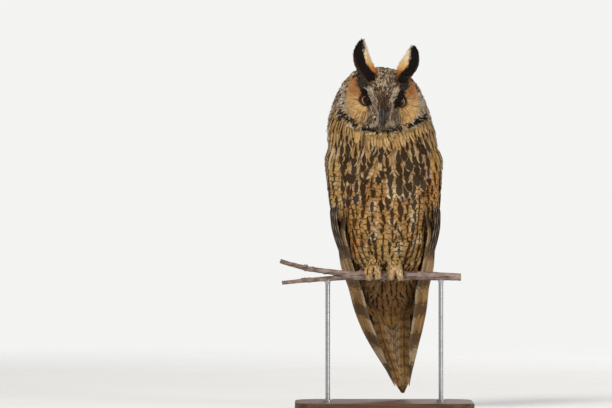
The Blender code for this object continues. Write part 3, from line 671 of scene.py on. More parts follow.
def core_rise(z, share):
    """How far a wing's flesh stands off the outer form, at a height and a share of its width."""
    full = along(WING_THICKNESS, z) - WING_CORE_SUNK - WING_EDGE_RISE
    sides = smoothstep(0, 0.18, share) * smoothstep(1, 0.84, share)
    return WING_EDGE_RISE + full * sides * smoothstep(299, 276, z) * smoothstep(172, 198, z)


def wing_core(side):
    """The flesh of a folded wing, as points and triangles."""
    share = np.linspace(0, 1, 40)
    outer, inner = [], []
    for z in np.linspace(300, 172, 48):
        front, back = math.radians(along(WING_FRONT, z)), math.radians(along(WING_BACK, z))
        angle = front + (back - front) * share
        outer.append([body_points(z, a, t) for a, t in zip(angle, core_rise(z, share))])
        inner.append([body_points(z, a, -5.0) for a in angle])
    return slab(outer, inner, side)


def slab(outer, inner, side):
    """A closed solid between two grids of points, mirrored to the right side where side is -1."""
    outer, inner = np.array(outer), np.array(inner)
    rows, columns = outer.shape[:2]
    points = np.concatenate([outer.reshape(-1, 3), inner.reshape(-1, 3)])
    points[:, 0] *= side
    top = grid_triangles(rows, columns)
    under = rows * columns
    low = top[:, ::-1] + under
    cells = np.arange(rows * columns).reshape(rows, columns)
    edge = np.concatenate([cells[0], cells[1:, -1], cells[-1, -2::-1], cells[-2:0:-1, 0]])
    after = np.roll(edge, -1)
    rim = [np.stack([edge, after, after + under], 1), np.stack([edge, after + under, edge + under], 1)]
    triangles = np.concatenate([top, low] + rim)
    return points, triangles[:, ::-1] if side < 0 else triangles


# Colours and marks over the bird


def patchy(points, size, seed):
    """A soft random pattern over space, from about -1 to 1, whose patches are about size across."""
    random = np.random.default_rng(seed)
    waves = unit(random.normal(size=(6, 3))) * (2 * math.pi / size)
    waves *= random.uniform(0.3, 0.7, (6, 1))
    phases = random.uniform(0, 2 * math.pi, 6)
    return np.sin(np.asarray(points) @ waves.T + phases).sum(axis=1) / 3


def blend(first, second, share):
    """Colours between two, a row for each share."""
    first, second = np.atleast_2d(first), np.atleast_2d(second)
    return first + (second - first) * np.asarray(share, float).reshape(-1, 1)


def patches(points, size, seed, middle, depth):
    """Shares from 0 to 1 in soft random patches."""
    return np.clip(middle + depth * patchy(points, size, seed), 0, 1)


def chance(random, count, share):
    """True for about this share of a number of places."""
    return random.uniform(size=count) < share


def directions(x, y, z):
    """Rows of directions from their parts, each an array or one number for all."""
    return np.stack(np.broadcast_arrays(x, y, z), axis=1)


def disc_place(points):
    """Where points of the face lie in its disc: 0 at the middle and 1 at the rim, and the angle round it."""
    x, _, z = points.T
    across = (np.abs(x) - DISC_CENTRE[0]) / DISC_RADII[0]
    up = (z - DISC_CENTRE[1]) / DISC_RADII[1]
    return np.hypot(across, up), np.arctan2(up, across)


def facing(points):
    """1 at the breast, 0 at the sides and -1 at the back."""
    _, y, z = points.T
    _, front, back = form_at(z)
    return ((front + back) / 2 - y) / ((back - front) / 2)


def brow_distance(points):
    """How far points of the face are, sideways, from the pale brow lines."""
    x, _, z = points.T
    turned = np.where(x < 0, 1.8, -1.2) * bump(z, 337, 9)
    return np.abs(x) - line_at(BROW_LINE, z) - turned


def on_face(points):
    """True inside the two facial discs, out from the brows."""
    rho, _ = disc_place(points)
    front = (facing(points) > 0.15) & (points[:, 2] > FACE_BOTTOM)
    return front & (rho < DISC_EDGE) & (brow_distance(points) > BROW_HALF_WIDTH)


def above_ruff(points):
    """How far points are above the line where the head's feathers end and the neck's begin."""
    line = line_at(RUFF_LINE, np.abs(points[:, 0]))
    line = line + (300 - line) * smoothstep(0.15, -0.35, facing(points))
    return points[:, 2] - line


def black_mask(points):
    """The black patch from an ear tuft down the inner side of the eye."""
    x, _, z = points.T
    u, right = np.abs(x), x < 0
    middle = np.interp(z, (324, 334, 340, 346, 352, 358, 366), (11.5, 12.0, 13.5, 17.0, 20.6, 21.4, 20.5))
    middle = middle + np.where(right, 0.8, 2.0) * smoothstep(344, 356, z) + 1.2 * right * bump(z, 338, 9)
    wide = np.interp(z, (322, 334, 346, 352, 358, 366), (2.0, 3.6, 4.8, 5.4, 4.6, 4.6))
    patch = 1 - smoothstep(0.7, 1.3, np.abs(u - middle) / wide)
    ring = np.hypot((u - 14.8) / 6.8, (z - EYE[2] + 0.6) / 6.8)
    return np.maximum(patch, 1 - smoothstep(0.85, 1.1, ring)) * smoothstep(333.5, 337.5, z)


def face_colour(points, random):
    """The ground colour of the face's small feathers."""
    x, _, z = points.T
    u, count = np.abs(x), len(points)
    rust = smoothstep(336, 350, z) * smoothstep(20, 28, u)
    under = bump(z, 325, 7) * bump(u, 20, 8)
    inside = bump(u, 26, 9) * smoothstep(336, 349, z)
    colour = blend(DISC_BUFF, ORANGE, 0.3 * patches(points, 14, 3, 0.2, 0.5))
    colour = blend(colour, ORANGE_RUST, np.clip(rust * 0.3 + inside + 0.2 * under, 0, 1))
    colour = blend(colour, CREAM, 0.5 * smoothstep(22, 34, u) * (1 - smoothstep(334, 350, z)))
    colour = blend(colour, BUFF, random.uniform(0, 0.6, count))
    colour = blend(colour, GREY, 0.9 * smoothstep(29, 38, u) * random.uniform(0, 1, count))
    spots = chance(random, count, 0.45 * under) | chance(random, count, 0.09 + 0.2 * inside)
    colour = blend(colour, BROWN, 0.75 * spots)
    shaded = smoothstep(21, 15.5, u) * smoothstep(340, 333, z)
    tone = blend(blend(GREY, BUFF, 0.4), BLACK, 0.85 * chance(random, count, 0.55))
    colour = blend(colour, tone, shaded > random.uniform(0.15, 0.85, count))
    return blend(colour, BLACK, black_mask(points))


def body_look(points, random):
    """Colours and marks of the coat at places on the body, neck and hood."""
    count = len(points)
    x, _, z = points.T
    u, front, above = np.abs(x), facing(points), above_ruff(points)
    odd = random.uniform(size=count)
    # Breast and belly, the vent, and the paler fringe under the face
    orange = 0.3 + 0.5 * patchy(points, 40, 5) + random.uniform(-0.4, 0.6, count)
    orange = np.clip(orange, 0, 1) * smoothstep(290, 262, z)
    belly = blend(BUFF, CREAM, patches(points, 30, 6, 0.3, 0.5))
    belly = blend(belly, ORANGE, 0.6 * orange)
    # The vent and the belly below the branch painted darker brown: partly their own browner colour, partly
    # painted shade under the branch and the wings.
    shaded_vent = smoothstep(168, 152, z) * smoothstep(-0.2, 0.3, front)
    belly = blend(belly, blend(BROWN, BUFF, 0.2), 0.85 * shaded_vent)
    fringe = smoothstep(-17, -9, above) * smoothstep(36, 26, u) * smoothstep(0.2, 0.5, front)
    belly = blend(belly, blend(CREAM, BUFF, 0.3), 0.8 * fringe)
    belly = blend(belly, blend(BROWN, DARK, 0.6), 0.9 * (fringe > 0.3) * chance(random, count, 0.2))
    belly = blend(belly, BROWN, 0.15 * smoothstep(-50, -30, above) * smoothstep(34, 44, u))
    # Back
    rear = blend(BROWN, GREY, patches(points, 18, 7, 0.5, 0.6))
    rear = blend(rear, BUFF, 0.6 * (odd > 0.45))
    ground = blend(belly, rear, 1 - smoothstep(-0.5, -0.1, front))
    # Hood and nape
    hood = smoothstep(-6, 4, np.where(front > 0.1, above, above + 8))
    hood = hood * (1 - smoothstep(0.1, -0.3, front) * smoothstep(314, 288, z))
    hooded = blend(GREY, BUFF, patches(points, 12, 8, 0.35, 0.5))
    hooded = blend(hooded, WHITE, 0.4 * (odd > 0.75))
    hooded = blend(hooded, DARK, 0.8 * (odd < 0.25))
    ground = blend(ground, hooded, hood)
    ground = blend(ground, BROWN, random.uniform(0, 0.42, count) * (1 - 0.6 * hood))
    ground = blend(ground, WHITE, 0.3 * (random.uniform(size=count) > 0.86) * (1 - shaded_vent))
    # The bold blotches of the breast, darkest at its top
    middle = smoothstep(0.45, 0.75, front)
    bold = smoothstep(226, 254, z) * smoothstep(-4, -16, above) * middle
    blotchy = random.uniform(-0.22, 0.36, count) * bold
    ground = blend(ground, blend(BROWN, ORANGE, 0.4), bold * random.uniform(0, 0.6, count))
    ground = blend(ground, blend(CREAM, WHITE, 0.3), 0.55 * bold * chance(random, count, 0.22))
    upper = bold * smoothstep(252, 278, z)
    ground = blend(ground, blend(BROWN, BUFF, 0.3), 0.4 * upper)
    # Shaft streaks, crossbars and flecks
    streak = 0.23 + 0.05 * patchy(points, 25, 9) + random.uniform(-0.06, 0.12, count) + 0.16 * upper
    streak = streak + 0.02 * middle + 0.1 * bold + blotchy + 0.06 * smoothstep(-0.1, -0.35, front)
    streak = streak * (1 - 0.8 * fringe) * (1 - 0.5 * shaded_vent)
    streak = np.clip(np.where(hood > 0.5, 0.22 * (odd < 0.5), streak), 0, 1)
    forward = front > -0.3
    plain = (1 - hood) * (1 - fringe) * (1 - shaded_vent) * smoothstep(290, 262, z)
    bars = np.where(forward, random.uniform(0.45, 0.95, count), 0.55) * plain
    fleck = np.clip(0.06 + 0.8 * hood + 0.6 * (1 - smoothstep(-0.4, 0.1, front)), 0, 1)
    counts = np.where(forward, random.uniform(3.2, 4.2, count), 4.2)
    dark = blend(DARK, BLACK, random.uniform(0.5, 1.0, count))
    tip = 0.9 * bold * chance(random, count, 0.3)
    thin = np.where(forward, 0.66, 0.62)
    return look(count, ground, dark, streak, bars, counts, fleck, 0.25, tip, thin, random)


# Where the small feathers grow, and which way they lie


def scatter(random, points, triangles, spacing, wanted):
    """Places spread evenly over a surface, at least spacing apart, where wanted says so."""
    triangles = triangles[wanted(points[triangles].mean(axis=1))]
    a, b, c = (points[triangles[:, k]] for k in range(3))
    area = np.linalg.norm(np.cross(b - a, c - a), axis=1) / 2
    tries = int(area.sum() / spacing**2 * 7)
    pick = random.choice(len(triangles), tries, p=area / area.sum())
    s, t = np.sqrt(random.uniform(size=tries))[:, None], random.uniform(size=tries)[:, None]
    places = a[pick] * (1 - s) + b[pick] * s * (1 - t) + c[pick] * s * t
    cells, kept = {}, []
    for place in places.tolist():
        home = [int(value // spacing) for value in place]
        around = itertools.product(*((value - 1, value, value + 1) for value in home))
        others = (other for cell in around for other in cells.get(cell, ()))
        if all(math.dist(place, other) > spacing for other in others):
            cells.setdefault(tuple(home), []).append(place)
            kept.append(place)
    return np.array(kept)


def jittered(random, headings, amount):
    return unit(headings + random.normal(0, amount, headings.shape))


# Where the wing's own coverts begin, behind the flank feathers that lie over its front edge.
COVERTS_FROM = ((180, 54), (200, 58), (214, 66), (230, 84), (250, 84), (272, 76), (292, 72))


def under_wing(points):
    """True where the folded wing's own feathers cover the body."""
    x, y, z = points.T
    half, front, back = form_at(z)
    angle = np.degrees(np.arctan2(np.abs(x) / half, ((front + back) / 2 - y) / ((back - front) / 2)))
    ahead, behind = line_at(COVERTS_FROM, z), along(WING_BACK, z) - 9
    top = 286 - 9 * smoothstep(100, 120, angle) - 16 * smoothstep(140, 162, angle)
    top = top + 5 * patchy(points, 9, 14)
    return (angle > ahead) & (angle < behind) & (z < top) & (z > 180)


def flank_rise(z, turn):
    """How far feathers' roots lie off the outer form: on the skin, or up on the flesh of the wing."""
    angle = np.degrees(np.abs((turn + math.pi) % (2 * math.pi) - math.pi))
    front, back = along(WING_FRONT, z), along(WING_BACK, z)
    share = np.clip((angle - front) / (back - front), 0, 1)
    return np.maximum(core_rise(z, share), -COAT_TORSO)


def neck_edge(points, share):
    """How far over the ruff's line the neck's feathers start: a mixed border at the sides and nape."""
    return -2.0 + 14.0 * share * smoothstep(0.35, -0.1, facing(points))


def torso_roots(random, row_step, columns):
    """Roots of the body's feathers in columns that run down it, neighbours half a row apart."""
    turn = np.linspace(0, 2 * math.pi, 721)
    roots = []
    for z in np.arange(334.0, 116.0, -row_step):
        for half in (0, 1):
            at = z - row_step / 2 * half
            level = max(at, TORSO_BOTTOM + 2)
            ring = body_points(level, turn, flank_rise(level, turn))
            run = np.concatenate([[0], np.cumsum(np.linalg.norm(np.diff(ring, axis=0), axis=1))])
            share = (np.arange(half, columns, 2) + 0.5) / columns
            share = share + random.normal(0, 0.15 / columns, len(share))
            ring[:, 2] = at
            roots.append(np.stack([np.interp(share * run[-1], run, ring[:, k]) for k in range(3)], axis=-1))
    roots = np.concatenate(roots)
    roots[:, 2] += random.normal(0, 1.7, len(roots))
    return roots


# Above this, measured from the ruff's line, the neck's feathers stand closer together.
NECK_FROM = -16


def make_body_coat(bed):
    """The feathers of breast, belly, flanks, back and rump, in two pieces."""
    random = np.random.default_rng(SEED)
    roots = torso_roots(random, 7.4, 38)
    extra = torso_roots(random, 6.0, 58)
    extra = extra[above_ruff(extra) > NECK_FROM]
    roots = np.concatenate([roots[above_ruff(roots) <= NECK_FROM], extra])
    edge = neck_edge(roots, random.uniform(0, 1, len(roots)))
    beside_tail = (roots[:, 2] < 134) & (np.abs(roots[:, 0]) > 16 + 1.1 * (roots[:, 2] - 117))
    roots = roots[~under_wing(roots) & (above_ruff(roots) < edge) & ~beside_tail]
    x, _, z = roots.T
    count, front = len(roots), facing(roots)
    top = smoothstep(-34, -8, above_ruff(roots))
    nape = smoothstep(284, 306, z) * smoothstep(0.3, -0.2, front)
    hang = bump(z, 180, 11) * smoothstep(0.5, 0.8, front)
    beside = bump(z, 174, 32) * smoothstep(0.88, 0.68, front) * smoothstep(0.3, 0.5, front)
    headings = jittered(random, directions(0.1 * np.sign(x) * smoothstep(0, 20, np.abs(x)), 0, -1), 0.1)
    lengths = 19.0 + 3.0 * bump(z, 215, 40) + random.uniform(-2.5, 2.5, count) - 4.0 * top - 4.0 * nape
    lengths = lengths + 3.0 * hang
    widths = (12.4 - 6.4 * np.maximum(top, nape)) * random.uniform(0.74, 1.16, count)
    rises = random.uniform(1.7, 2.9, count) + 0.8 * top * (front > 0.2) + 4.0 * hang + 7.5 * beside
    root_rises = ROOT_RISE + 4.0 * beside[:, None]
    rows = body_look(roots, random)
    for name, mask in (("coat_breast", front > -0.1), ("coat_back", front <= -0.1)):
        coat = Coat()
        places = (values[mask] for values in (roots, headings, lengths, widths, rises, rows))
        add_feathers(coat, bed, random, *places, CONTOUR, root_rises[mask])
        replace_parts(coat.piece(name, MATERIALS["plumage"], "body_feathers"), "neck")


def hood_headings(points):
    """Which way the head's feathers lie: up the forehead, back over the crown, down sides and nape."""
    x, y, z = points.T
    down = directions(0.1 * np.sign(x), 0.6, -0.85)
    back = directions(0.012 * x, 1.0, 0.05)
    up = directions(0.03 * x, 0.25, 1.0)
    lie = blend_rows(down, back, smoothstep(350, 366, z))
    lie = blend_rows(lie, np.array([0, 0, -1]), smoothstep(15, 30, y) * smoothstep(368, 350, z))
    forehead = smoothstep(-18, -30, y) * (1 - smoothstep(14, 26, np.abs(x))) * smoothstep(326, 334, z)
    return blend_rows(lie, up, forehead)


def blend_rows(first, second, share):
    return first + (second - first) * share[:, None]


def on_forehead(points):
    """True between the brows, up to the crown."""
    return (points[:, 1] < -14) & (brow_distance(points) < BROW_HALF_WIDTH) & (points[:, 2] > 334)


def make_hood(bed, skin):
    """Small speckled feathers of the forehead, crown, sides of the head and nape."""
    random = np.random.default_rng(SEED + 1)

    def wanted(points):
        return (above_ruff(points) > neck_edge(points, 0.4 * patchy(points, 7, 15)) - 1) & ~on_face(points)

    roots = scatter(random, *skin, 2.1, wanted)
    extra = scatter(random, *skin, 1.15, on_forehead)
    roots = np.concatenate([roots[~on_forehead(roots)], extra])
    forehead = on_forehead(roots)
    rho, _ = disc_place(roots)
    rim = (facing(roots) > 0) & (rho < 1.3) & (brow_distance(roots) > 3)
    lie = hood_headings(roots)
    lie[rim] = rim_heading(roots[rim])
    headings = jittered(random, lie, 0.1)
    count = len(roots)
    lengths = np.where(forehead, 2.7, 8.0) * random.uniform(0.85, 1.15, count)
    lengths = np.where(rim, 6.0, lengths)
    widths = np.where(forehead, 1.4, 3.6) * random.uniform(0.85, 1.15, count)
    rises = np.where(forehead, 1.1, 2.4) * random.uniform(0.7, 1.4, count)
    rows = body_look(roots, random)
    paint_head(rows, roots, random, forehead)
    coat = Coat()
    add_feathers(coat, bed, random, roots, headings, lengths, widths, rises, rows, SMALL)
    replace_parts(coat.piece("coat_hood", MATERIALS["plumage"], "face_feathers"), "head")


def rim_heading(points):
    """Out from the middle of the disc, over its rim and back."""
    x, _, z = points.T
    return unit(directions(np.sign(x) * (np.abs(x) - DISC_CENTRE[0] + 2), 12.0, z - DISC_CENTRE[1]))


def recolour(rows, where, colour):
    """Gives the chosen feathers another ground colour."""
    rows[:, GROUND] = np.where(where[:, None], colour, rows[:, GROUND])


def paint_head(rows, points, random, forehead):
    """Sets the hood's own marks: the speckled forehead, dark feet of the tufts, the line under the disc."""
    x, _, z = points.T
    u, count = np.abs(x), len(x)
    odd = random.uniform(size=count)
    speckled = blend(GREY, BUFF, random.uniform(0, 0.6, count))
    speckled = blend(speckled, DARK, 0.9 * (odd > 0.38 + 0.16 * smoothstep(348, 360, z)))
    speckled = blend(speckled, WHITE, 0.4 * (odd < 0.2))
    speckled = blend(speckled, RUST, 0.3 * bump(x, 0, 6) * smoothstep(352, 342, z))
    speckled = blend(speckled, BLACK, 0.7 * bump(x, 0.5, 1.6) * smoothstep(356, 348, z))
    high_up = smoothstep(17, 22, u) * smoothstep(30, 26, u) * smoothstep(352, 358, z)
    recolour(rows, forehead, blend(speckled, BLACK, 0.9 * high_up))
    rows[forehead, FLECK] = 0.5
    rho, _ = disc_place(points)
    front = facing(points)
    low = (u < 46) & (front > 0.2) & (np.abs(above_ruff(points) - 1.4) < 2.4)
    front = front > 0.05
    high = front & (rho < 1.2) & ~low & (brow_distance(points) > 4) & (z < 350)
    foot = (1.7 * bump(z, 359, 8) * bump(u, 22, 6) > odd) | (~forehead & (u < 25) & (z > 348))
    recolour(rows, front & foot, blend(BLACK, DARK, 0.4 * odd))
    beside = 1.7 * bump(z, 357, 7) * bump(u, 29, 3.6) > odd
    recolour(rows, front & ~foot & beside, blend(ORANGE_RUST, BUFF, 0.2 + 0.4 * odd))
    recolour(rows, low & chance(random, count, 0.85), blend(BLACK, DARK, odd))
    recolour(rows, high & (odd < 0.5), blend(GREY, WHITE, 0.5 * odd))
    rows[low | high, STREAK] = 0


# Ruff, discs and brows


def on_ruff(points):
    """True on the black line under the face."""
    u = np.abs(points[:, 0])
    half = 1.5 + 1.6 * bump(u, 40, 5) + 0.4 * bump(u, 0, 9) + 0.5 * patchy(points, 6, 16)
    away = np.abs(above_ruff(points) - 2.4 + 1.4 * smoothstep(8, 24, u))
    return (away < half) & (facing(points) > 0.1) & (u < 46)


def ruff_feathers(roots, random):
    x, count = roots[:, 0], len(roots)
    outward = 0.9 * np.sign(x) * smoothstep(2, 30, np.abs(x))
    headings = jittered(random, directions(outward, -0.1, -1.0), 0.16)
    ground = blend(BLACK, DARK, random.uniform(0, 0.8, count))
    ground = blend(ground, WHITE, 0.5 * chance(random, count, 0.07))
    lengths, widths = random.uniform(2.4, 4.2, count), random.uniform(0.9, 1.7, count)
    rises = random.uniform(2.6, 4.2, count)
    return headings, lengths, widths, rises, look(count, ground, BLACK, random=random)


def plant(coat, bed, skin, random, spacing, wanted, feathers, form, root_rise):
    """Adds feathers over the skin where wanted says so, as the function feathers describes them."""
    roots = scatter(random, *skin, spacing, wanted)
    add_feathers(coat, bed, random, roots, *feathers(roots, random), form, root_rise)


def make_ruff(bed, skin):
    """The black line of short feathers under the face."""
    coat = Coat()
    plant(coat, bed, skin, np.random.default_rng(SEED + 8), 1.4, on_ruff, ruff_feathers, SMALL, ROOT_RISE)
    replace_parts(coat.piece("coat_ruff", MATERIALS["plumage"], "dark_feathers"), "head")


def make_face(side_name, bed, skin):
    """One facial disc: fine loose feathers that radiate from the eye."""
    side = SIDES[side_name]
    random = np.random.default_rng(SEED + 3 + side)
    eye = np.array([side * EYE[0], EYE[2]])

    def wanted(points):
        away = np.hypot((points[:, 0] - eye[0]) / 6.7, (points[:, 2] - eye[1]) / 5.5)
        return on_face(points) & (points[:, 0] * side > 0) & (away > 1)

    roots = scatter(random, *skin, 0.74, wanted)
    count = len(roots)
    out = directions(roots[:, 0] - eye[0], 0, roots[:, 2] - eye[1])
    away = np.linalg.norm(out, axis=1)
    headings = jittered(random, out / away[:, None] + (0, 0, -0.12), 0.07)
    inner = black_mask(roots)
    lengths = (6.5 + 2.5 * smoothstep(8, 20, away)) * random.uniform(0.8, 1.2, count) * (1 - 0.45 * inner)
    rho, _ = disc_place(roots)
    to_rim = (DISC_EDGE - rho) * away / np.maximum(rho, 0.3)
    lengths = np.clip(lengths, 2.6, np.maximum(2.6, to_rim + random.uniform(0.5, 3.5, count)))
    widths = random.uniform(0.55, 1.1, count)
    over_lid = 1.1 * smoothstep(9.5, 7, away) * (1 - inner)
    rises = random.uniform(0.9, 2.0, count) + 0.6 * over_lid
    rows = look(count, face_colour(roots, random), BROWN, fleck=0.12, pale_edge=0.3, random=random)
    root_rises = ROOT_RISE + over_lid[:, None]
    coat = Coat()
    add_feathers(coat, bed, random, roots, headings, lengths, widths, rises, rows, SMALL_DISC, root_rises)
    piece = coat.piece(f"coat_disc_{side_name}", MATERIALS["plumage"], "face_feathers")
    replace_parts(piece, "head")


def in_front(points, low, high):
    """True on the front of the head between two heights."""
    _, y, z = points.T
    return (y < FACE_SIDES_Y) & (z > low) & (z < high)


def on_brow(points):
    x, _, z = points.T
    half = 1.4 + np.where(x < 0, 1.0, 0.2) * smoothstep(340, 350, z) + 0.5 * bump(z, 335, 9)
    return (np.abs(brow_distance(points)) < half) & in_front(points, 322, 349.5)


def over_bill(points):
    u, z = np.abs(points[:, 0]), points[:, 2]
    return ((u > 2.4) | (z > 333)) & (u < 6) & in_front(points, 320, 345)


def beside_bill(points):
    u, z = np.abs(points[:, 0]), points[:, 2]
    return (u > 2.4) & (u < 11 + 0.4 * (331 - z)) & in_front(points, FACE_BOTTOM, 335)


def between_brows(points):
    return (brow_distance(points) < -1.0) & in_front(points, 325, 340)


def inside_eye(points):
    u, z = np.abs(points[:, 0]), points[:, 2]
    return (u < 15 + 0.5 * (z - 342)) & (brow_distance(points) > 1.5) & in_front(points, 335.5, 353)


def grey_to_white(random, count, least, most):
    return blend(WHITE, GREY, random.uniform(least, most, count))


def brow_feathers(roots, random):
    """The pale brows, which run up and out from the bill."""
    x, _, z = roots.T
    count = len(roots)
    slope = line_at(BROW_LINE, z + 3) - line_at(BROW_LINE, z - 3)
    headings = jittered(random, unit(directions(np.sign(x) * slope, 0.6, 6.0)), 0.07)
    grey = blend(grey_to_white(random, count, 0.0, 0.7), BUFF, 0.6 * random.uniform(size=count))
    grey = blend(grey, BLACK, 0.7 * chance(random, count, 0.1))
    grey = blend(grey, blend(BROWN, DARK, 0.4), 0.3 * smoothstep(344, 350, z))
    rows = look(count, grey, DARK, fleck=0.15, pale_edge=0.3, random=random)
    lengths, widths = random.uniform(3.5, 6, count), random.uniform(0.7, 1.1, count)
    return headings, lengths, widths, random.uniform(2.4, 3.8, count) + 2.2 * bump(z, 333, 9), rows


def bill_cover(roots, random):
    """Long strands over the bill's root, rust and black between the brows."""
    x, _, z = roots.T
    u, count = np.abs(x), len(roots)
    headings = jittered(random, directions(np.sign(x) * (0.06 - 0.03 * (u - 3)), -0.3, -1.0), 0.07)
    tone = blend(grey_to_white(random, count, 0.4, 1.0), DARK, 0.8 * chance(random, count, 0.3))
    inner = smoothstep(1.0, 0.0, brow_distance(roots - (0, 0, 6))) * chance(random, count, 0.93)
    tone = blend(tone, rust_to_black(random, count, 0.3, 0.5), 0.95 * inner)
    tone = blend(tone, BLACK, 0.75 * bump(x, 0, 1.5) * chance(random, count, 0.8))
    rows = look(count, tone, DARK, fleck=0.1, pale_edge=0.2, random=random)
    over = 5.6 - 0.5 * u + 1.2 * smoothstep(334, 340, z)
    lengths = np.where(u < 2.4, np.minimum(9.0, z - 329), random.uniform(9, 15, count))
    widths = random.uniform(0.45, 0.8, count)
    return headings, lengths, widths, over + random.uniform(-0.8, 1.2, count), rows


def rust_to_black(random, count, least, power):
    return blend(blend(RUST, BROWN, 0.5), BLACK, random.uniform(least, 1, count) ** power)


def bristles(roots, random):
    """Dark bristles that fan out beside the bill, with a pale line through them."""
    x, _, z = roots.T
    u, count = np.abs(x), len(roots)
    headings = jittered(random, directions(np.sign(x) * (0.1 + 0.05 * (u - 4)), -0.35, -1.0), 0.1)
    pale = chance(random, count, 0.08 + 0.6 * bump(u, 5.0 + 0.25 * (331 - z), 2.3))
    grey = blend(grey_to_white(random, count, 0.3, 1.0), BUFF, random.uniform(0, 0.6, count))
    grey = blend(grey, blend(DARK, BLACK, 0.6), np.where(pale, 0, random.uniform(0.6, 1.0, count)))
    tip = 0.4 * chance(random, count, 0.5)
    rows = look(count, grey, DARK, fleck=0.1, pale_edge=0.2, tip=tip, random=random)
    lengths = np.minimum(random.uniform(7, 12, count), np.maximum(z - FACE_BOTTOM, 3.0))
    widths = random.uniform(0.45, 0.85, count)
    return headings, lengths, widths, random.uniform(1.5, 3.0, count) + 4.2 * (1 - smoothstep(3, 8, u)), rows


def rust_patch(roots, random):
    """Short rust feathers that stand up between the brows."""
    count = len(roots)
    headings = jittered(random, directions(0.03 * roots[:, 0], -0.1, 1.0), 0.12)
    rust = rust_to_black(random, count, 0.2, 0.6)
    rows = look(count, rust, DARK, fleck=0.3, pale_edge=0.1, random=random)
    lengths, widths = random.uniform(3.5, 5, count), random.uniform(0.9, 1.5, count)
    return headings, lengths, widths, random.uniform(1.6, 3.4, count), rows


def inner_lashes(roots, random):
    """Black lashes from the brow towards the eye."""
    x, _, z = roots.T
    count = len(roots)
    headings = jittered(random, directions(0.9 * np.sign(x), -0.2, -0.35 - 0.04 * (z - 342)), 0.14)
    rows = look(count, blend(BLACK, DARK, random.uniform(0, 0.7, count)), BLACK, random=random)
    lengths, widths = random.uniform(5.5, 9, count), random.uniform(0.8, 1.4, count)
    return headings, lengths, widths, random.uniform(3.6, 5.6, count), rows


def make_brows(bed, skin):
    """The pale crossed brows, the bristles beside the bill and the rust patch over it."""
    random = np.random.default_rng(SEED + 7)
    coat = Coat()
    for spacing, wanted, feathers, form, root_rise in (
        (0.8, on_brow, brow_feathers, SMALL_DISC, ROOT_RISE),
        (0.75, over_bill, bill_cover, STRAND, 2.6),
        (0.95, beside_bill, bristles, STRAND, 0.3),
        (1.2, between_brows, rust_patch, SMALL_DISC, ROOT_RISE),
        (0.72, inside_eye, inner_lashes, STRAND, 0.3),
    ):
        plant(coat, bed, skin, random, spacing, wanted, feathers, form, root_rise)
    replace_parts(coat.piece("coat_brows", MATERIALS["plumage"], "face_feathers"), "head")


# Flight feathers

LONG_SHAPE = ((0.0, 0.45), (0.2, 0.86), (0.6, 1.0), (0.84, 0.86), (0.95, 0.6), (1.0, 0.18))
SHORT_SHAPE = ((0.0, 0.55), (0.35, 0.95), (0.65, 1.0), (0.86, 0.8), (0.96, 0.48), (1.0, 0.15))

# Tiers of a wing's feathers, the lowest first. Roots and tips run from the front of the wing to its back,
# each as an angle and a height, and lift is how far the vanes lie above the wing's mean surface.
WING_TIERS = (
    {
        "name": "primaries", "count": 10, "half_width": 7.2, "lift": -1.9, "long": True,
        "root": ((57, 222), (140, 212)), "tip": ((52, 0), (144, 0)),
        "tip_heights": (52, 38, 30, 26, 25, 28, 38, 50, 68, 92), "stand_off": 1.0,
    },
    {
        "name": "primary_coverts", "count": 9, "half_width": 4.6, "lift": -0.9, "long": False,
        "root": ((66, 236), (108, 238)), "tip": ((60, 170), (112, 182)), "stand_off": 0.7,
    },
    {
        "name": "secondaries", "count": 10, "half_width": 6.8, "lift": -0.7, "long": True,
        "root": ((112, 222), (160, 224)), "tip": ((120, 136), (166, 150)),
    },
    {
        "name": "greater_coverts", "count": 11, "half_width": 6.0, "lift": -0.5, "long": False,
        "root": ((84, 252), (158, 254)), "tip": ((92, 209), (160, 200)),
    },
    {
        "name": "median_coverts", "count": 11, "half_width": 6.2, "lift": -0.5, "long": False,
        "root": ((81, 273), (152, 273)), "tip": ((84, 238), (154, 232)),
    },
    {
        "name": "scapulars", "count": 8, "half_width": 7.0, "lift": 0.6, "long": False,
        "root": ((138, 284), (168, 266)), "tip": ((144, 238), (167, 211)),
    },
)


# A dark band crosses the primaries at this height, and others at each step from it.
BAND_HEIGHT = 112.5
BAND_STEP = 32.5
# How far the primaries stand off the body at each height.
STAND_OFF = (
    (230, 0.0), (214, 4.5), (200, 7.0), (187, 6.4), (176, 5.4), (165, 7.4), (155, 9.2), (132, 9.0),
    (88, 8.0), (66, 5.0), (40, 0.5), (10, 0.0),
)


def arc_radius(z, angle):
    """How far the outer form's surface runs at a height for a radian of angle."""
    step = 0.05
    ends = body_points(z, np.array([angle - step, angle + step]))
    return float(np.linalg.norm(ends[1] - ends[0])) / (2 * step)


def wing_surface(root, tip, lift, stand_off):
    """A feather's surface on the folded wing, its front edge standing over the feather before it."""

    def surface(share, across, out):
        z = root[1] + (tip[1] - root[1]) * share
        angle = math.radians(root[0] + (tip[0] - root[0]) * share)
        rise = along(WING_THICKNESS, z) + lift - ROOT_SUNK * (1 - smoothstep(0, 0.35, share))
        rise = rise + stand_off * along(STAND_OFF, z) * smoothstep(0, 0.2, share)
        return body_points(z, angle + across / arc_radius(z, angle), rise - VANE_TILT * across + out)

    return surface


def tail_surface(side, rank, root, tip, forward, spread, tilt):
    """A feather's surface in the tail, rank places out from the middle."""

    def surface(share, across, out):
        z = root + (tip - root) * share
        x = side * rank * along(spread, z) + across
        y = along(TAIL_LINE, z) - forward * smoothstep(0, 0.3, share) - out + tilt * across * side
        return np.stack([x, np.broadcast_to(y, x.shape), np.full(x.shape, z)], axis=-1)

    return surface


VANE_THICKNESS = 0.2
VANE_RISE = 0.11
VANE_CURL = 0.03
SHAFT_COLUMN = 5


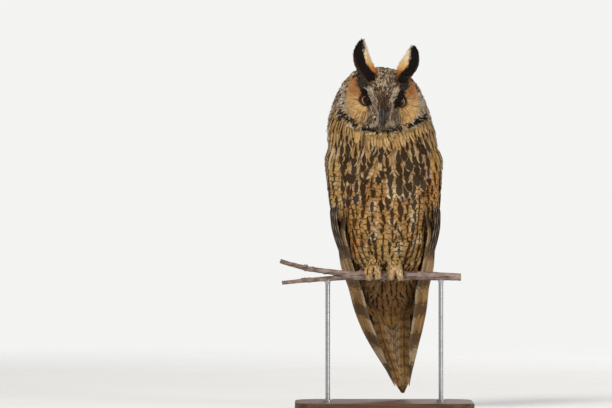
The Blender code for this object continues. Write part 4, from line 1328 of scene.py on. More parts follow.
def add_vane(coat, surface, half_width, shape, rows, row_look, random, side=1, shaft=-0.15):
    """A stiff feather with a raised shaft, two vanes and a few splits along its edges."""
    shares = 1 - (1 - np.linspace(0, 1, rows)) ** 1.3
    columns = np.array([-1.0, -0.96, -0.7, -0.4, shaft - 0.1, shaft, shaft + 0.1, 0.3, 0.65, 0.96, 1.0])
    stations, widths = np.array(shape).T
    wide = half_width * np.interp(shares, stations, widths)
    notch = np.ones((rows, len(columns)))
    for column in (0, -1):
        notch[2:-1, column] -= 0.16 * (random.uniform(size=rows - 3) < 0.14)
        notch[1:, column] -= random.uniform(0, 0.03, rows - 1)
    ridge = 0.34 * bump(columns, shaft, 0.07)
    outer, inner = [], []
    for k, share in enumerate(shares):
        across = columns * wide[k] * notch[k]
        raised = ridge * (1 - 0.75 * share)
        body = VANE_RISE + raised - VANE_CURL * np.abs(columns) ** 3 * wide[k]
        outer.append(surface(share, across, body))
        inner.append(surface(share, across, body - VANE_THICKNESS - raised))
    points, triangles = slab(outer, inner, side)
    vane = np.stack(np.meshgrid(columns / 2 + 0.5, shares), axis=-1).reshape(-1, 2)
    root = points[SHAFT_COLUMN]
    coat.add(points[None], triangles, np.concatenate([vane, vane]), root[None], row_look)


def pair_mix(pair, share):
    return [a + (b - a) * share for a, b in zip(*pair)]


def flight_look(tier_name, share, length, random):
    """Colours and marks of a wing feather: share is its place from the front of the wing to its back."""
    ground = blend(BUFF, CREAM, random.uniform(0.0, 0.5))
    dark = blend(BLACK, DARK, random.uniform(0.2, 1.0))
    if tier_name == "primaries":
        ground = blend(blend(ground, GREY, random.uniform(0.1, 0.35)), BROWN, random.uniform(0.15, 0.4))
        dark = blend(dark, BROWN, random.uniform(0.1, 0.5))
        marks = (0.1, 0.85, length / BAND_STEP, 0.3, 0.7, 0.0, 0.05)
    elif tier_name == "primary_coverts":
        ground = blend(blend(BROWN, BUFF, 0.35), DARK, random.uniform(0.2, 0.6))
        marks = (0.6, 0.8, length / 14, 0.3, 0.6, 0.0, 0.0)
    elif tier_name == "secondaries":
        ground = blend(blend(ground, GREY, 0.45), BROWN, 0.4)
        marks = (0.1, 0.9, length / 12, 0.5, 0.5, 0.0, 0.1)
    elif tier_name == "scapulars":
        ground = blend(blend(ground, GREY, 0.4), BROWN, 0.35)
        marks = (0.3, 0.5, length / 9, 0.8, 0.9, 0.0, 0.3)
    else:
        ground = blend(blend(ground, ORANGE, random.uniform(0, 0.5)), GREY, 0.4 * share)
        ground = blend(ground, BROWN, 0.45 * share)
        marks = (0.26, 0.8 - 0.2 * share, length / 8, 0.3 + 0.5 * share, 0.5, 0.0, 0.5)
    return look(1, ground, dark, *marks, random)


def make_wing(side_name, bed):
    """A folded wing: primaries, secondaries, their coverts, scapulars and the small feathers of its bend."""
    side = SIDES[side_name]
    random = np.random.default_rng(SEED + 20 + side)
    coat = Coat()
    for tier in WING_TIERS:
        rows, shape = (30, LONG_SHAPE) if tier["long"] else (16, SHORT_SHAPE)
        for i in range(tier["count"]):
            share = i / (tier["count"] - 1)
            root, tip = pair_mix(tier["root"], share), pair_mix(tier["tip"], share)
            if "tip_heights" in tier:
                tip[1] = tier["tip_heights"][i]
            else:
                tip[1] += random.uniform(-2.0, 2.0)
            tip[0] += random.uniform(-0.8, 0.8)
            stand_off = tier.get("stand_off", 0.0) * (1 - 0.6 * share)
            surface = wing_surface(root, tip, tier["lift"] + 0.2 * share, stand_off)
            half_width = tier["half_width"] * random.uniform(0.95, 1.05)
            marks = flight_look(tier["name"], share, root[1] - tip[1], random)
            if tier["name"] == "primaries":
                from_band = (root[1] - BAND_HEIGHT) / BAND_STEP
                marks[:, PHASE] = (0.25 - from_band + random.uniform(-0.06, 0.06)) % 1
            add_vane(coat, surface, half_width, shape, rows, marks, random, side)
    piece = coat.piece(f"wing_feathers_{side_name}", MATERIALS["flight"], "flight_feathers")
    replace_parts(piece, f"wing_{side_name}")

    def wanted(points):
        low = 256 + 5 * patchy(points, 11, 17)
        return (points[:, 2] > low) & (np.abs(points[:, 0]) > 20) & under_wing(points)

    def bend_feathers(roots, random):
        x, _, z = roots.T
        headings = jittered(random, directions(0 * x, 0.12, -1.0), 0.08)
        rows = body_look(roots, random)
        rows[:, [STREAK, BARS]] = (0.24, 0.7)
        long = smoothstep(292, 262, z)
        return headings, 12 + 5 * long, 7.5 + 2.0 * long, random.uniform(2.4, 3.4, len(z)), rows

    small = Coat()
    plant(small, bed, wing_core(side), random, 4.6, wanted, bend_feathers, CONTOUR, 1.5)
    piece = small.piece(f"wing_bend_{side_name}", MATERIALS["plumage"], "flight_feathers")
    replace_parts(piece, f"wing_{side_name}")


TAIL_TIP = 17.0
TAIL_ROOT = 128.0
TAIL_SPREAD = ((135, 2.6), (110, 2.7), (80, 2.2), (50, 1.25), (17, 0.5))
TAIL_COVERT_ROOT = 131.0
TAIL_COVERT_SPREAD = ((135, 9), (85, 5.5))
TAIL_STEP = 1.1
TAIL_HALF_WIDTH = 7.4


def make_tail():
    """Twelve barred tail feathers, and the coverts over and under their roots."""
    random = np.random.default_rng(SEED + 30)
    coat = Coat()
    for rank in range(6):
        for side in SIDES.values():
            forward = TAIL_STEP * (rank - 2) + (0.35 if side > 0 else 0.0)
            tip = TAIL_TIP + 1.4 * rank
            surface = tail_surface(side, rank + 0.5, TAIL_ROOT, tip, forward, TAIL_SPREAD, 0.06)
            ground = blend(blend(BUFF, GREY, 0.25), BROWN, random.uniform(0.3, 0.55))
            dark = blend(DARK, BROWN, 0.35)
            marks = look(1, ground, dark, 0.08, 0.7, 10.0, 0.45, 0.3, 0.0, 0.5, random)
            add_vane(coat, surface, TAIL_HALF_WIDTH, LONG_SHAPE, 34, marks, random, shaft=-0.1 * side)
    for front, base, step, bars, half_width in ((True, 4.6, 0.7, 0.2, 5.6), (False, -5.4, -0.7, 0.7, 6.0)):
        for i in range(9):
            rank = (i - 4) / 1.4
            forward = base - step * abs(rank) + 0.25 * (i % 2)
            tip = 88 + 5 * abs(rank) + random.uniform(-2, 2) + (0 if front else -4)
            surface = tail_surface(1, rank, TAIL_COVERT_ROOT, tip, forward, TAIL_COVERT_SPREAD, 0.0)
            surface = surface if front else backwards(surface)
            marks = look(1, blend(BUFF, BROWN, 0.5), DARK, 0.12, bars, 4.0, 0.3, 0.2, random=random)
            add_vane(coat, surface, half_width, SHORT_SHAPE, 14, marks, random)
    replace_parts(coat.piece("tail_feathers", MATERIALS["flight"], "flight_feathers"), "tail")


def backwards(surface):
    """The same surface, with its outer side to the back."""

    def turned(share, across, out):
        return surface(share, -across, -out)

    return turned


# Ear tufts

# A tuft's edges: height, then how far its inner edge, its outer edge and the border between its
# pale and black parts are from the middle of the head.
TUFT_EDGES = {
    "right": (
        (361.0, 10.0, 17.0, 8.0), (367.5, 8.0, 21.5, 8.5), (373.0, 7.4, 25.7, 14.0),
        (378.4, 10.7, 28.2, 18.6), (383.9, 13.1, 29.2, 19.3), (389.4, 15.3, 29.7, 19.7),
        (394.9, 16.8, 28.7, 19.7), (400.4, 18.7, 26.7, 20.1), (404.9, 20.1, 24.1, 20.5),
        (406.8, 21.2, 22.2, 20.9),
    ),
    "left": (
        (360.0, 18.0, 25.0, 16.0), (369.9, 16.5, 32.5, 19.5), (375.4, 17.5, 36.3, 26.0),
        (380.9, 19.9, 38.3, 29.3), (386.4, 23.3, 39.0, 30.3), (392.0, 26.5, 38.6, 30.9),
        (397.5, 29.3, 38.0, 31.6), (401.0, 32.3, 36.3, 32.6), (402.4, 33.6, 34.8, 33.0),
    ),
}
TUFT_FEATHERS = 13


def head_front(u, z):
    """How far forward the front of the head's outer form is."""
    half, front, back = form_at(np.minimum(z, 368))
    depth = (back - front) / 2
    return (front + back) / 2 - depth * np.clip(1 - (u / half) ** 2, 0.01, 1) ** 0.45


def tuft_line(rows, z):
    """The inner edge, outer edge and border of an ear tuft at a height."""
    rows = np.array(rows)
    return [np.interp(z, rows[:, 0], rows[:, k]) for k in (1, 2, 3)]


def make_tuft(side_name):
    """An ear tuft: long black feathers with pale inner edges, and loose barbs along them."""
    side, edges = SIDES[side_name], TUFT_EDGES[side_name]
    random = np.random.default_rng(SEED + 40 + side)
    coat = Coat()
    rows, columns, barbs = 30, np.linspace(-1, 1, 9), 90
    shares = np.linspace(0, 1, rows)
    bottom, top = edges[0][0], edges[-1][0]

    def place(share, sideways, lie, reach, layer):
        """Points of a feather: share up it, sideways off its middle line in millimetres."""
        z = bottom + (top - bottom) * reach * share
        inner, outer, _ = tuft_line(edges, z)
        lie = lie + (0.58 - lie) * 0.12 * share**2
        u = inner + (outer - inner) * lie + sideways
        y = -30.0 + 3.0 * share + 0.035 * (u - (inner + outer) / 2) ** 2
        y = y + (head_front(u, z) - 2.2 - y) * smoothstep(bottom + 20, bottom + 6, z) + layer
        return np.stack(np.broadcast_arrays(side * u, y, z - 0.012 * sideways**2), axis=-1)

    for k in range(TUFT_FEATHERS):
        lie = 0.04 + 0.92 * k / (TUFT_FEATHERS - 1)
        reach = 1.0 - 0.3 * abs(lie - 0.58) ** 1.2 + random.uniform(-0.04, 0.02)
        layer = (0.9, -0.9, 0.0)[k % 3]
        inner, outer, _ = tuft_line(edges, bottom + (top - bottom) * reach * shares)
        profile = np.interp(shares, (0, 0.2, 0.6, 0.9, 0.97, 1.0), (0.7, 1.0, 0.95, 0.75, 0.5, 0.12))
        wide = np.minimum(3.2, 0.6 + 0.2 * (outer - inner)) * profile * (0.5 if lie < 0.34 else 1.0)
        grid = place(shares[:, None], columns[None] * wide[:, None], lie, reach, layer)
        points, triangles = [grid.reshape(-1, 3)], [grid_triangles(rows, len(columns))]
        vane = [np.stack(np.meshgrid(columns / 2 + 0.5, shares), axis=-1).reshape(-1, 2)]
        start = grid.size // 3
        for edge in (-1, 1):
            at = np.sort(random.uniform(0.1, 0.97, barbs))
            half = np.interp(at, shares, wide)
            out = half + random.uniform(0.4, 3.0 if edge < 0 else 1.0, barbs)
            end = np.minimum(at + random.uniform(0.05, 0.1, barbs), 1.03)
            corners = ((at, half * 0.7), (at + 0.02, half * 0.7), (end, out))
            corners = [place(up, edge * away, lie, reach, layer) for up, away in corners]
            points.append(np.stack(corners, axis=1).reshape(-1, 3))
            triangles.append(start + np.arange(3 * barbs).reshape(-1, 3))
            start += 3 * barbs
            uv = np.stack([np.full(barbs, edge * 0.45 + 0.5), at], axis=-1)
            vane.append(np.repeat(uv, 3, axis=0))
        points, triangles, vane = (np.concatenate(parts) for parts in (points, triangles, vane))
        triangles = triangles[:, ::-side]
        rows_look = look(len(points), tuft_colour(points, edges, random), BLACK)
        coat.add_painted(points, triangles, vane, grid[0, 4], rows_look)
    piece = coat.piece(f"tuft_feathers_{side_name}", MATERIALS["plumage"], "dark_feathers")
    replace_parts(piece, f"ear_tuft_{side_name}")


def tuft_colour(points, edges, random):
    """The colour of an ear tuft: pale at its inner edge, orange-buff at its foot, black over the rest."""
    u, z = np.abs(points[:, 0]), points[:, 2]
    _, outer, border = tuft_line(edges, z)
    uneven = 1.3 * patchy(points, 5, 12) + 0.9 * random.normal(size=len(u)) - 0.8
    pale = smoothstep(0.6, -0.6, u - border - uneven)
    up = (z - edges[0][0]) / (edges[-1][0] - edges[0][0])
    light = blend(blend(ORANGE, BROWN, 0.35), CREAM, smoothstep(0.25, 0.5, up))
    light = blend(light, WHITE, 0.6 * smoothstep(0.4, 0.75, up))
    light = blend(light, BROWN, 0.7 * chance(random, len(u), 0.14 + 0.4 * smoothstep(0.4, 0.2, up)))
    colour = blend(BLACK, light, pale)
    return blend(colour, BROWN, 0.5 * smoothstep(-0.3, 0.5, u - outer) * smoothstep(0.75, 0.3, up))


# Tubes


def ring_frame(path):
    """Directions across a path at each of its points: two for each, square to the path and to each other."""
    path = np.asarray(path, float)
    forward = unit(np.gradient(path, axis=0))
    first = np.empty_like(path)
    guide = np.array([1.0, 0, 0]) if abs(forward[0][0]) < 0.7 else np.array([0, 0, 1.0])
    for k, ahead in enumerate(forward):
        guide = unit(guide - ahead * guide.dot(ahead))
        first[k] = guide
    return first, np.cross(forward, first)


def refined(rows, count):
    """More stations along a path, through the given ones."""
    return hermite(rows, np.linspace(0, len(rows) - 1, count))


def tube(path, radii, sides, bumps=None):
    """Points and triangles of a closed tube. bumps scales its radius at each station and side."""
    first, second = ring_frame(path)
    turn = full_turn(sides)
    reach = np.asarray(radii, float)[:, None] * (1 if bumps is None else bumps)
    rings = (
        np.asarray(path)[:, None]
        + first[:, None] * (reach * np.cos(turn))[..., None]
        + second[:, None] * (reach * np.sin(turn))[..., None]
    )
    points, triangles = closed_rings(rings)
    return points, triangles[:, ::-1]


def joined(parts):
    """One set of points and triangles from several."""
    starts = np.cumsum([0] + [len(points) for points, _ in parts[:-1]])
    points = np.concatenate([points for points, _ in parts])
    return points, np.concatenate([triangles + start for (_, triangles), start in zip(parts, starts)])


# Eyes


def eye_material():
    """A wet eye: black pupil, fibred orange iris with a dark rim, and a dark white."""
    n = Nodes("eye_wet")
    place = n.uv("Iris")
    reach = n.length(place[0], place[1])
    angle = n.math("ARCTAN2", place[1], place[0])
    sideways, upward = n.times(n.math("COSINE", angle), 9.0), n.times(n.math("SINE", angle), 9.0)
    fibres = n.noise(1.0, 4.0, 0.6, n.vector(sideways, upward, n.times(reach, 4.0)))
    iris = n.mix(n.step(fibres, 0.3, 0.7), srgb(140, 76, 30), srgb(216, 150, 90))
    iris = n.mix(n.step(reach, IRIS - 0.24, IRIS - 0.06, 0.0, 0.95), iris, srgb(60, 24, 10))
    iris = n.mix(n.step(reach, PUPIL + 0.1, PUPIL, 0.0, 0.6), iris, srgb(96, 44, 16))
    pupil = n.step(reach, PUPIL - 0.012, PUPIL + 0.012)
    colour = n.mix(pupil, srgb(6, 5, 5), iris)
    colour = n.mix(n.step(reach, IRIS, IRIS + 0.05), colour, srgb(22, 15, 12))
    n.relief(fibres, 0.15, 0.0002)
    wet = n.step(fibres, 0.2, 0.8, 0.12, 0.2)
    return n.finish(colour, wet, Coat_Weight=0.22, Coat_Roughness=0.03, Specular_IOR_Level=0.15)


def lid_material():
    """Bare black skin of the eyelids, finely wrinkled."""
    n = Nodes("eyelid_skin")
    fine = n.noise(1800.0, 3.0)
    n.relief(fine, 0.4, 0.0003)
    colour = n.mix(n.step(fine, 0.3, 0.7), srgb(14, 11, 10), srgb(34, 27, 24))
    return n.finish(colour, 0.45, Specular_IOR_Level=0.4)


EYE_SIDES = 64
LID_RINGS = 12


def make_eye(side_name):
    """The eyeball with its iris, and the black lids round it."""
    side = SIDES[side_name]
    centre = np.array([side * EYE[0], EYE[1], EYE[2]])
    polar, turn = np.linspace(0, math.pi, 40), full_turn(EYE_SIDES)
    gaze = unit(np.array([-side * math.sin(GAZE_INWARD), -math.cos(GAZE_INWARD), -0.02]))
    across = unit(np.cross(gaze, (0, 0, 1)))
    up = np.cross(across, gaze)
    round_it = np.cos(turn)[:, None] * across + np.sin(turn)[:, None] * up
    bulge = EYE_RADIUS + 0.28 * bump(polar, 0, 0.42)
    rings = centre + (bulge * np.cos(polar))[:, None, None] * gaze
    points, triangles = closed_rings(rings + (bulge * np.sin(polar))[:, None, None] * round_it)
    iris = np.stack([polar[:, None] * np.cos(turn), polar[:, None] * np.sin(turn)], axis=-1).reshape(-1, 2)
    iris = np.concatenate([iris, np.zeros((1, 2)), np.full((1, 2), math.pi)])
    eye = add_mesh(f"eyeball_{side_name}", points, triangles[:, ::-1], EYE_MATERIAL, {"Iris": iris})
    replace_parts(eye, f"eye_{side_name}")
    slant = EYE_SLANT * side
    rings = []
    for t in np.linspace(0, 1, LID_RINGS):
        wide, high = ((1 + 0.75 * t) * half for half in EYE_OPENING)
        x, z = wide * np.cos(turn), high * np.sin(turn)
        z = np.where(z > 0, z * (1 + 0.16 * side * np.cos(turn) * (1 - t)), z)
        x, z = x * math.cos(slant) - z * math.sin(slant), x * math.sin(slant) + z * math.cos(slant)
        lift = EYE_RADIUS + 0.3 + 0.75 * math.sin(math.pi * min(1, t * 2.2) ** 0.6) - 1.2 * t**2
        y = -np.sqrt(np.clip(lift**2 - x**2 - z**2, 0.4, None))
        rings.append(directions(x, y, z) + centre)
    triangles = grid_triangles(LID_RINGS, EYE_SIDES, wrap=True)
    lid = add_mesh(f"eyelid_{side_name}", np.concatenate(rings), triangles, LID_MATERIAL)
    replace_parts(lid, "head")


# Bill

BILL_UPPER = (
    (-40.0, 330.0, 5.0), (-46.6, 330.0, 5.0), (-51.2, 327.2, 4.8), (-53.8, 322.6, 4.3),
    (-54.5, 317.0, 3.2), (-53.6, 312.2, 1.8), (-52.2, 309.4, 0.4),
)
BILL_LOWER = (
    (-40.0, 321.5, 4.8), (-46.0, 320.4, 4.4), (-49.6, 318.0, 3.4), (-51.0, 315.2, 1.9), (-51.2, 313.6, 0.7),
)
BILL_NARROWING = 0.6
BILL_SIDES = 36
BILL_TURN = -1.3
NOSTRIL = (3.4, -50.6, 326.6)
NOSTRIL_REACH = (1.6, 1.6, 1.3)


def horn_material(name, pale, dark, rough):
    """Smooth horn with fine lengthwise growth lines."""
    n = Nodes(name)
    coarse, fine = n.noise(130.0, 2.0), n.noise(900.0, 3.0, 0.6, distortion=0.6)
    shade = n.attribute("shade")["Fac"]
    colour = n.mix(n.step(coarse, 0.3, 0.75), dark, pale)
    # The shade attribute takes the horn towards near black: painted shade in the bill's nostril pits, and
    # darker towards the bill's and claws' tips.
    colour = n.mix(shade, colour, srgb(10, 9, 9))
    n.relief(fine, 0.18, 0.0003)
    return n.finish(colour, n.step(fine, 0.3, 0.7, rough, rough + 0.16), Specular_IOR_Level=0.5)


def bill_half(rows, ridge):
    """One half of the bill as rings, narrower across than deep, with a ridge down its front."""
    fine = refined([(0, y, z, r) for y, z, r in rows], 40)
    points, triangles = tube(fine[:, :3], fine[:, 3], BILL_SIDES)
    points[:, 0] *= BILL_NARROWING
    middle = np.repeat(fine[:, :3], BILL_SIDES, axis=0)
    ahead = -(points[:len(middle), 1] - middle[:, 1]) / np.repeat(fine[:, 3], BILL_SIDES)
    points[:len(middle), 0] *= 1 - ridge * smoothstep(0.2, 1, ahead)
    return points, triangles


def make_bill():
    """The hooked bill in two halves, with a cere and nostrils."""
    points, triangles = bill_half(BILL_UPPER, 0.35)
    # shade darkens the horn to near black: painted shade in the nostril pits, and the bill darker towards
    # its tip.
    shade = np.zeros(len(points))
    for side in SIDES.values():
        from_nostril = points - (side * NOSTRIL[0], NOSTRIL[1], NOSTRIL[2])
        away = np.linalg.norm(from_nostril / NOSTRIL_REACH, axis=1)
        pit = np.exp(-(away**2) * 1.2)
        points[:, 0] -= side * 1.3 * pit
        shade = np.maximum(shade, smoothstep(0.25, 0.7, pit))
    cere = smoothstep(325.5, 327, points[:, 2])
    points[:, 1] -= 0.35 * cere
    shade = np.maximum(shade, 0.7 * smoothstep(316, 310, points[:, 2]))
    points[:, 0] += BILL_TURN
    shades = {"shade": np.repeat(shade[:, None], 4, 1)}
    upper = add_mesh("bill_top", points, triangles, BILL_MATERIAL, colours=shades)
    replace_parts(upper, "bill_upper")
    points, triangles = bill_half(BILL_LOWER, 0.1)
    points[:, 0] += BILL_TURN
    shade = np.zeros((len(points), 4))
    lower = add_mesh("bill_under", points, triangles, BILL_MATERIAL, colours={"shade": shade})
    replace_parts(lower, "bill_lower")


# Legs and feet

TOES = (
    ("inner", -3.4, -1.6, 78, -22),
    ("middle", 3.4, 1.8, 78, -27),
    ("outer", 4.4, 2.4, 100, 190),
    ("hind", -3.6, -1.4, 100, 186),
)
TOE_RADIUS = 2.9
TOE_GAP = 0.3
CLAW_RADIUS = 1.7
CLAW_GAP = 0.75
CLAW_SWEEP = 50
CLAW_INSIDE_TOE = 8


def arc_round_perch(x, start, end, reach, splay, steps):
    """Points round the perch's axis from one angle to another, sliding sideways by splay."""
    share = np.linspace(0, 1, steps)
    turn = np.radians(start + (end - start) * share)
    out = reach[0] + (reach[1] - reach[0]) * share
    return np.stack([x + splay * share, PERCH_Y - out * np.cos(turn), PERCH_Z + out * np.sin(turn)], axis=-1)


TOE_STEPS = 26
TOE_RADII = refined([[4.2], [4.1], [3.8], [3.5], [3.0], [2.4]], TOE_STEPS)[:, 0]
CLAW_STEPS, CLAW_SIDES = 20, 18


def leg_path(x):
    """Stations down a shank: a point and a radius each."""
    y = PERCH_Y + 2.5
    high = [(x * 0.9, y + 6, 188, 12), (x * 0.95, y + 3, 179, 11), (x, y + 1, 169, 9)]
    return high + [(x, y, 160, 6.6), (x, y - 0.6, 153, 6.4)]


def make_claw(side_name, name, x, slide, end, turn):
    """A black claw that goes on round the perch from the end of its toe."""
    side, reach = SIDES[side_name], PERCH_RADIUS + TOE_GAP + TOE_RADIUS
    begin = end + turn * (math.degrees(CLAW_GAP / reach) - CLAW_INSIDE_TOE)
    finish = begin + turn * (CLAW_SWEEP + CLAW_INSIDE_TOE)
    reaches = (reach - 0.3, PERCH_RADIUS + 2.6)
    path = arc_round_perch(x, begin, finish, reaches, 0.3 * side * slide, CLAW_STEPS)
    share = np.linspace(0, 1, CLAW_STEPS)
    points, triangles = tube(path, CLAW_RADIUS * (1 - 0.86 * share**1.4), CLAW_SIDES)
    shade = np.append(np.repeat(0.6 * share, CLAW_SIDES), (0, 0.6))
    shades = {"shade": np.repeat(shade[:, None], 4, 1)}
    claw = add_mesh(f"talon_{side_name}_{name}", points, triangles, CLAW_MATERIAL, colours=shades)
    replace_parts(claw, f"claw_{side_name}_{name}")


def on_toes(points):
    away = np.hypot(points[:, 1] - PERCH_Y, points[:, 2] - PERCH_Z)
    return (away > PERCH_RADIUS + 1.6) & (points[:, 2] < 166)


def on_shank(points):
    return (points[:, 2] > 159) & (points[:, 2] < 186)


def shank_feathers(roots, random):
    count = len(roots)
    headings = jittered(random, np.tile((0.0, 0.0, -1.0), (count, 1)), 0.1)
    rows = body_look(roots + (0, 0, 22), random)
    rows[:, GROUND] = blend(rows[:, GROUND], blend(CREAM, BUFF, 0.4), 0.5)
    lengths, widths = random.uniform(11, 15, count), random.uniform(6.5, 9, count)
    return headings, lengths, widths, random.uniform(1.6, 2.8, count), rows


def make_leg(side_name):
    """A feathered leg and foot: soft buff feathers down the shank and over the toes, and black claws."""
    side = SIDES[side_name]
    random = np.random.default_rng(SEED + 50 + side)
    x = FEET_MIDDLE + side * FEET_SPACING / 2
    reach = PERCH_RADIUS + TOE_GAP + TOE_RADIUS
    shank = refined(leg_path(x), 30)
    parts, toes = [tube(shank[:, :3], shank[:, 3], 28)], []
    for name, offset, slide, start, end in TOES:
        reaches = (reach + 0.3, reach - 0.2)
        toes.append(arc_round_perch(x + side * offset, start, end, reaches, side * slide, TOE_STEPS))
        parts.append(tube(toes[-1], TOE_RADII, 16))
        make_claw(side_name, name, x + side * (offset + slide), slide, end, 1 if end > start else -1)
    y, z = PERCH_Y - 3.5, PERCH_Z + 6.6
    pad = refined([(x - 6.5, y, z), (x, y - 1.0, z + 0.4), (x + 6.5, y, z)], 16)
    parts.append(tube(pad, 2.4 + 2.2 * np.sin(np.linspace(0.15, math.pi - 0.15, 16)), 20))
    flesh = joined(parts)
    tone = np.tile((*BUFF, 1.0), (len(flesh[0]), 1))
    uvs = {"OFBake": unwrap(flesh[0])}
    skin = add_mesh(f"foot_skin_{side_name}", *flesh, MATERIALS["skin"], uvs, {"ground": tone})
    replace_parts(skin, f"leg_{side_name}", f"foot_{side_name}")

    def toe_feathers(roots, random):
        headings = np.tile((0.0, -0.1, -1.0), (len(roots), 1))
        for k, root in enumerate(roots):
            away = [np.linalg.norm(path - root, axis=1) for path in toes]
            nearest = min(range(len(toes)), key=lambda i: away[i].min())
            if away[nearest].min() - TOE_RADII.max() < 0.8:
                at = min(int(away[nearest].argmin()), TOE_STEPS - 2)
                headings[k] = toes[nearest][at + 1] - toes[nearest][at]
        headings = jittered(random, headings, 0.12)
        count = len(roots)
        high = smoothstep(158, 172, roots[:, 2])
        tone = blend(blend(CREAM, WHITE, 0.35), BUFF, random.uniform(0, 0.7, count))
        tone = blend(tone, BROWN, random.uniform(0, 0.35, count))
        streak = 0.1 * chance(random, count, 0.15)
        rows = look(count, tone, BROWN, streak, fleck=0.12, pale_edge=0.3, random=random)
        lengths = (5.4 + 4.5 * high) * random.uniform(0.8, 1.2, count)
        widths = (2.2 + 1.8 * high) * random.uniform(0.8, 1.2, count)
        return headings, lengths, widths, random.uniform(0.7, 1.7, count) + 0.5 * high, rows

    bed = BVHTree.FromPolygons(flesh[0].tolist(), flesh[1].tolist())
    coat = Coat()
    plant(coat, bed, flesh, random, 4.2, on_shank, shank_feathers, CONTOUR, ROOT_RISE)
    plant(coat, bed, flesh, random, 1.75, on_toes, toe_feathers, SMALL, ROOT_RISE)
    piece = coat.piece(f"foot_feathers_{side_name}", MATERIALS["plumage"], "foot_feathers")
    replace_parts(piece, f"leg_{side_name}", f"foot_{side_name}")


# Branch and stand

PERCH_MAIN = (
    (84, -14, 146.5, 3.9), (70, -13.2, 147.0, 4.3), (52, -12.2, 147.8, 4.7), (34, -12, 148, 4.8),
    (0, -12, 148, 4.8), (-26, -12, 148, 4.8), (-38, -12, 148.2, 4.8), (-46, -12, 148.4, 4.0),
)
TWIG_UPPER = (
    (-30, -12, 148.5, 3.6), (-48, -12.5, 150.8, 3.3), (-66, -13.5, 153.2, 2.9), (-82, -14, 155.4, 2.9),
    (-86, -14.2, 156.4, 3.5), (-90, -14.3, 157.4, 2.8), (-104, -15, 161.0, 2.5), (-114, -15.5, 164.2, 2.4),
)
TWIG_LOWER = (
    (-30, -12, 147.5, 3.5), (-46, -11.5, 146.0, 3.0), (-62, -11, 144.8, 2.8), (-78, -10.5, 143.6, 2.5),
    (-82, -10.4, 143.3, 3.1), (-86, -10.2, 143.0, 2.4), (-100, -9.5, 141.4, 2.2), (-112, -9, 140.2, 2.1),
)


def bark_material():
    """Grey-brown bark with long cracks and pale spots, and rings on its cut ends."""
    n = Nodes("bark")
    where = n.place()
    cracks = n.noise(1.0, 5.0, 0.65, n.stretched(where, (60.0, 420.0, 420.0)), 0.4)
    patches = n.noise(90.0, 3.0, 0.55)
    spots = n.add("ShaderNodeTexVoronoi", Scale=330.0).outputs["Distance"]
    colour = n.mix(n.step(patches, 0.35, 0.7), srgb(106, 84, 74), srgb(160, 138, 126))
    colour = n.mix(n.step(cracks, 0.5, 0.32), colour, srgb(48, 36, 32))
    colour = n.mix(n.step(spots, 0.16, 0.1, 0.0, 0.6), colour, srgb(176, 158, 136))
    place = n.uv("Cut")
    rings = n.math("SINE", n.times(n.plus(place[0], n.times(patches, 0.1)), 60.0))
    wood = n.mix(n.step(rings, -0.6, 0.8), srgb(206, 176, 132), srgb(170, 134, 92))
    colour = n.mix(place[1], colour, wood)
    n.relief(n.plus(cracks, n.times(spots, 0.15)), 0.9, 0.0012)
    return n.finish(colour, n.step(patches, 0.3, 0.7, 0.7, 0.88), Specular_IOR_Level=0.3)


def limb(rows, random, count, sides, cut_last):
    """A length of branch with uneven bark and small buds, and its cut faces' map."""
    fine = refined(rows, count)
    turn = full_turn(sides)
    station = np.linspace(0, 1, count)
    uneven = np.ones((count, sides))
    for _ in range(10):
        waves, turns, phase = random.uniform(3, 40), random.integers(0, 4), random.uniform(0, 2 * math.pi)
        uneven += 0.012 * np.sin(waves * station[:, None] * 2 + turns * turn + phase)
    for _ in range(4):
        at, side = random.uniform(0.08, 0.9), random.uniform(0, 2 * math.pi)
        uneven += 0.35 * (bump(station[:, None], at, 0.016) * bump(np.cos(turn - side), 1, 0.4))
    points, triangles = tube(fine[:, :3], fine[:, 3] * 0.99, sides, uneven)
    cut = np.zeros((len(points), 2))
    cut[-1 if cut_last else -2] = (0.0, 1.0)
    return points, triangles, cut


def make_perch():
    """The forked branch, its buds, and the pale faces where it was cut."""
    random = np.random.default_rng(SEED + 60)
    parts, cuts = [], []
    for rows, count, sides in ((PERCH_MAIN, 190, 40), (TWIG_UPPER, 150, 30), (TWIG_LOWER, 150, 28)):
        points, triangles, cut = limb(rows, random, count, sides, rows is not PERCH_MAIN)
        parts.append((points, triangles))
        cuts.append(cut)
        first, (x, y, z, r) = (1, rows[0]) if rows is PERCH_MAIN else (-1, rows[-1])
        face, face_cut = cut_face((x, y, z), r, first, rows)
        parts.append(face)
        cuts.append(face_cut)
    points, triangles = joined(parts)
    branch = add_mesh("branch", points, triangles, BARK_MATERIAL, {"Cut": np.concatenate(cuts)}, bird=False)
    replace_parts(branch, "perch")


def cut_face(middle, radius, way, rows):
    """The sawn face at a limb's end, a little domed."""
    inner = np.array(rows[1 if way > 0 else -2][:3], float)
    axis = unit(np.array(middle, float) - inner)
    first = unit(np.cross(axis, (0, 0, 1)))
    second = np.cross(axis, first)
    turn = full_turn(36)
    rings, cut = [], []
    for share, out in ((0.0, 0.12), (0.3, 0.12), (0.6, 0.1), (0.8, 0.08), (0.9, 0.02), (0.96, -0.4)):
        across = radius * share * (np.cos(turn)[:, None] * first + np.sin(turn)[:, None] * second)
        rings.append(np.array(middle) + across + axis * out)
        cut.append(np.tile((share, 1.0), (36, 1)))
    return (np.concatenate(rings), grid_triangles(len(rings), 36, wrap=True)), np.concatenate(cut)


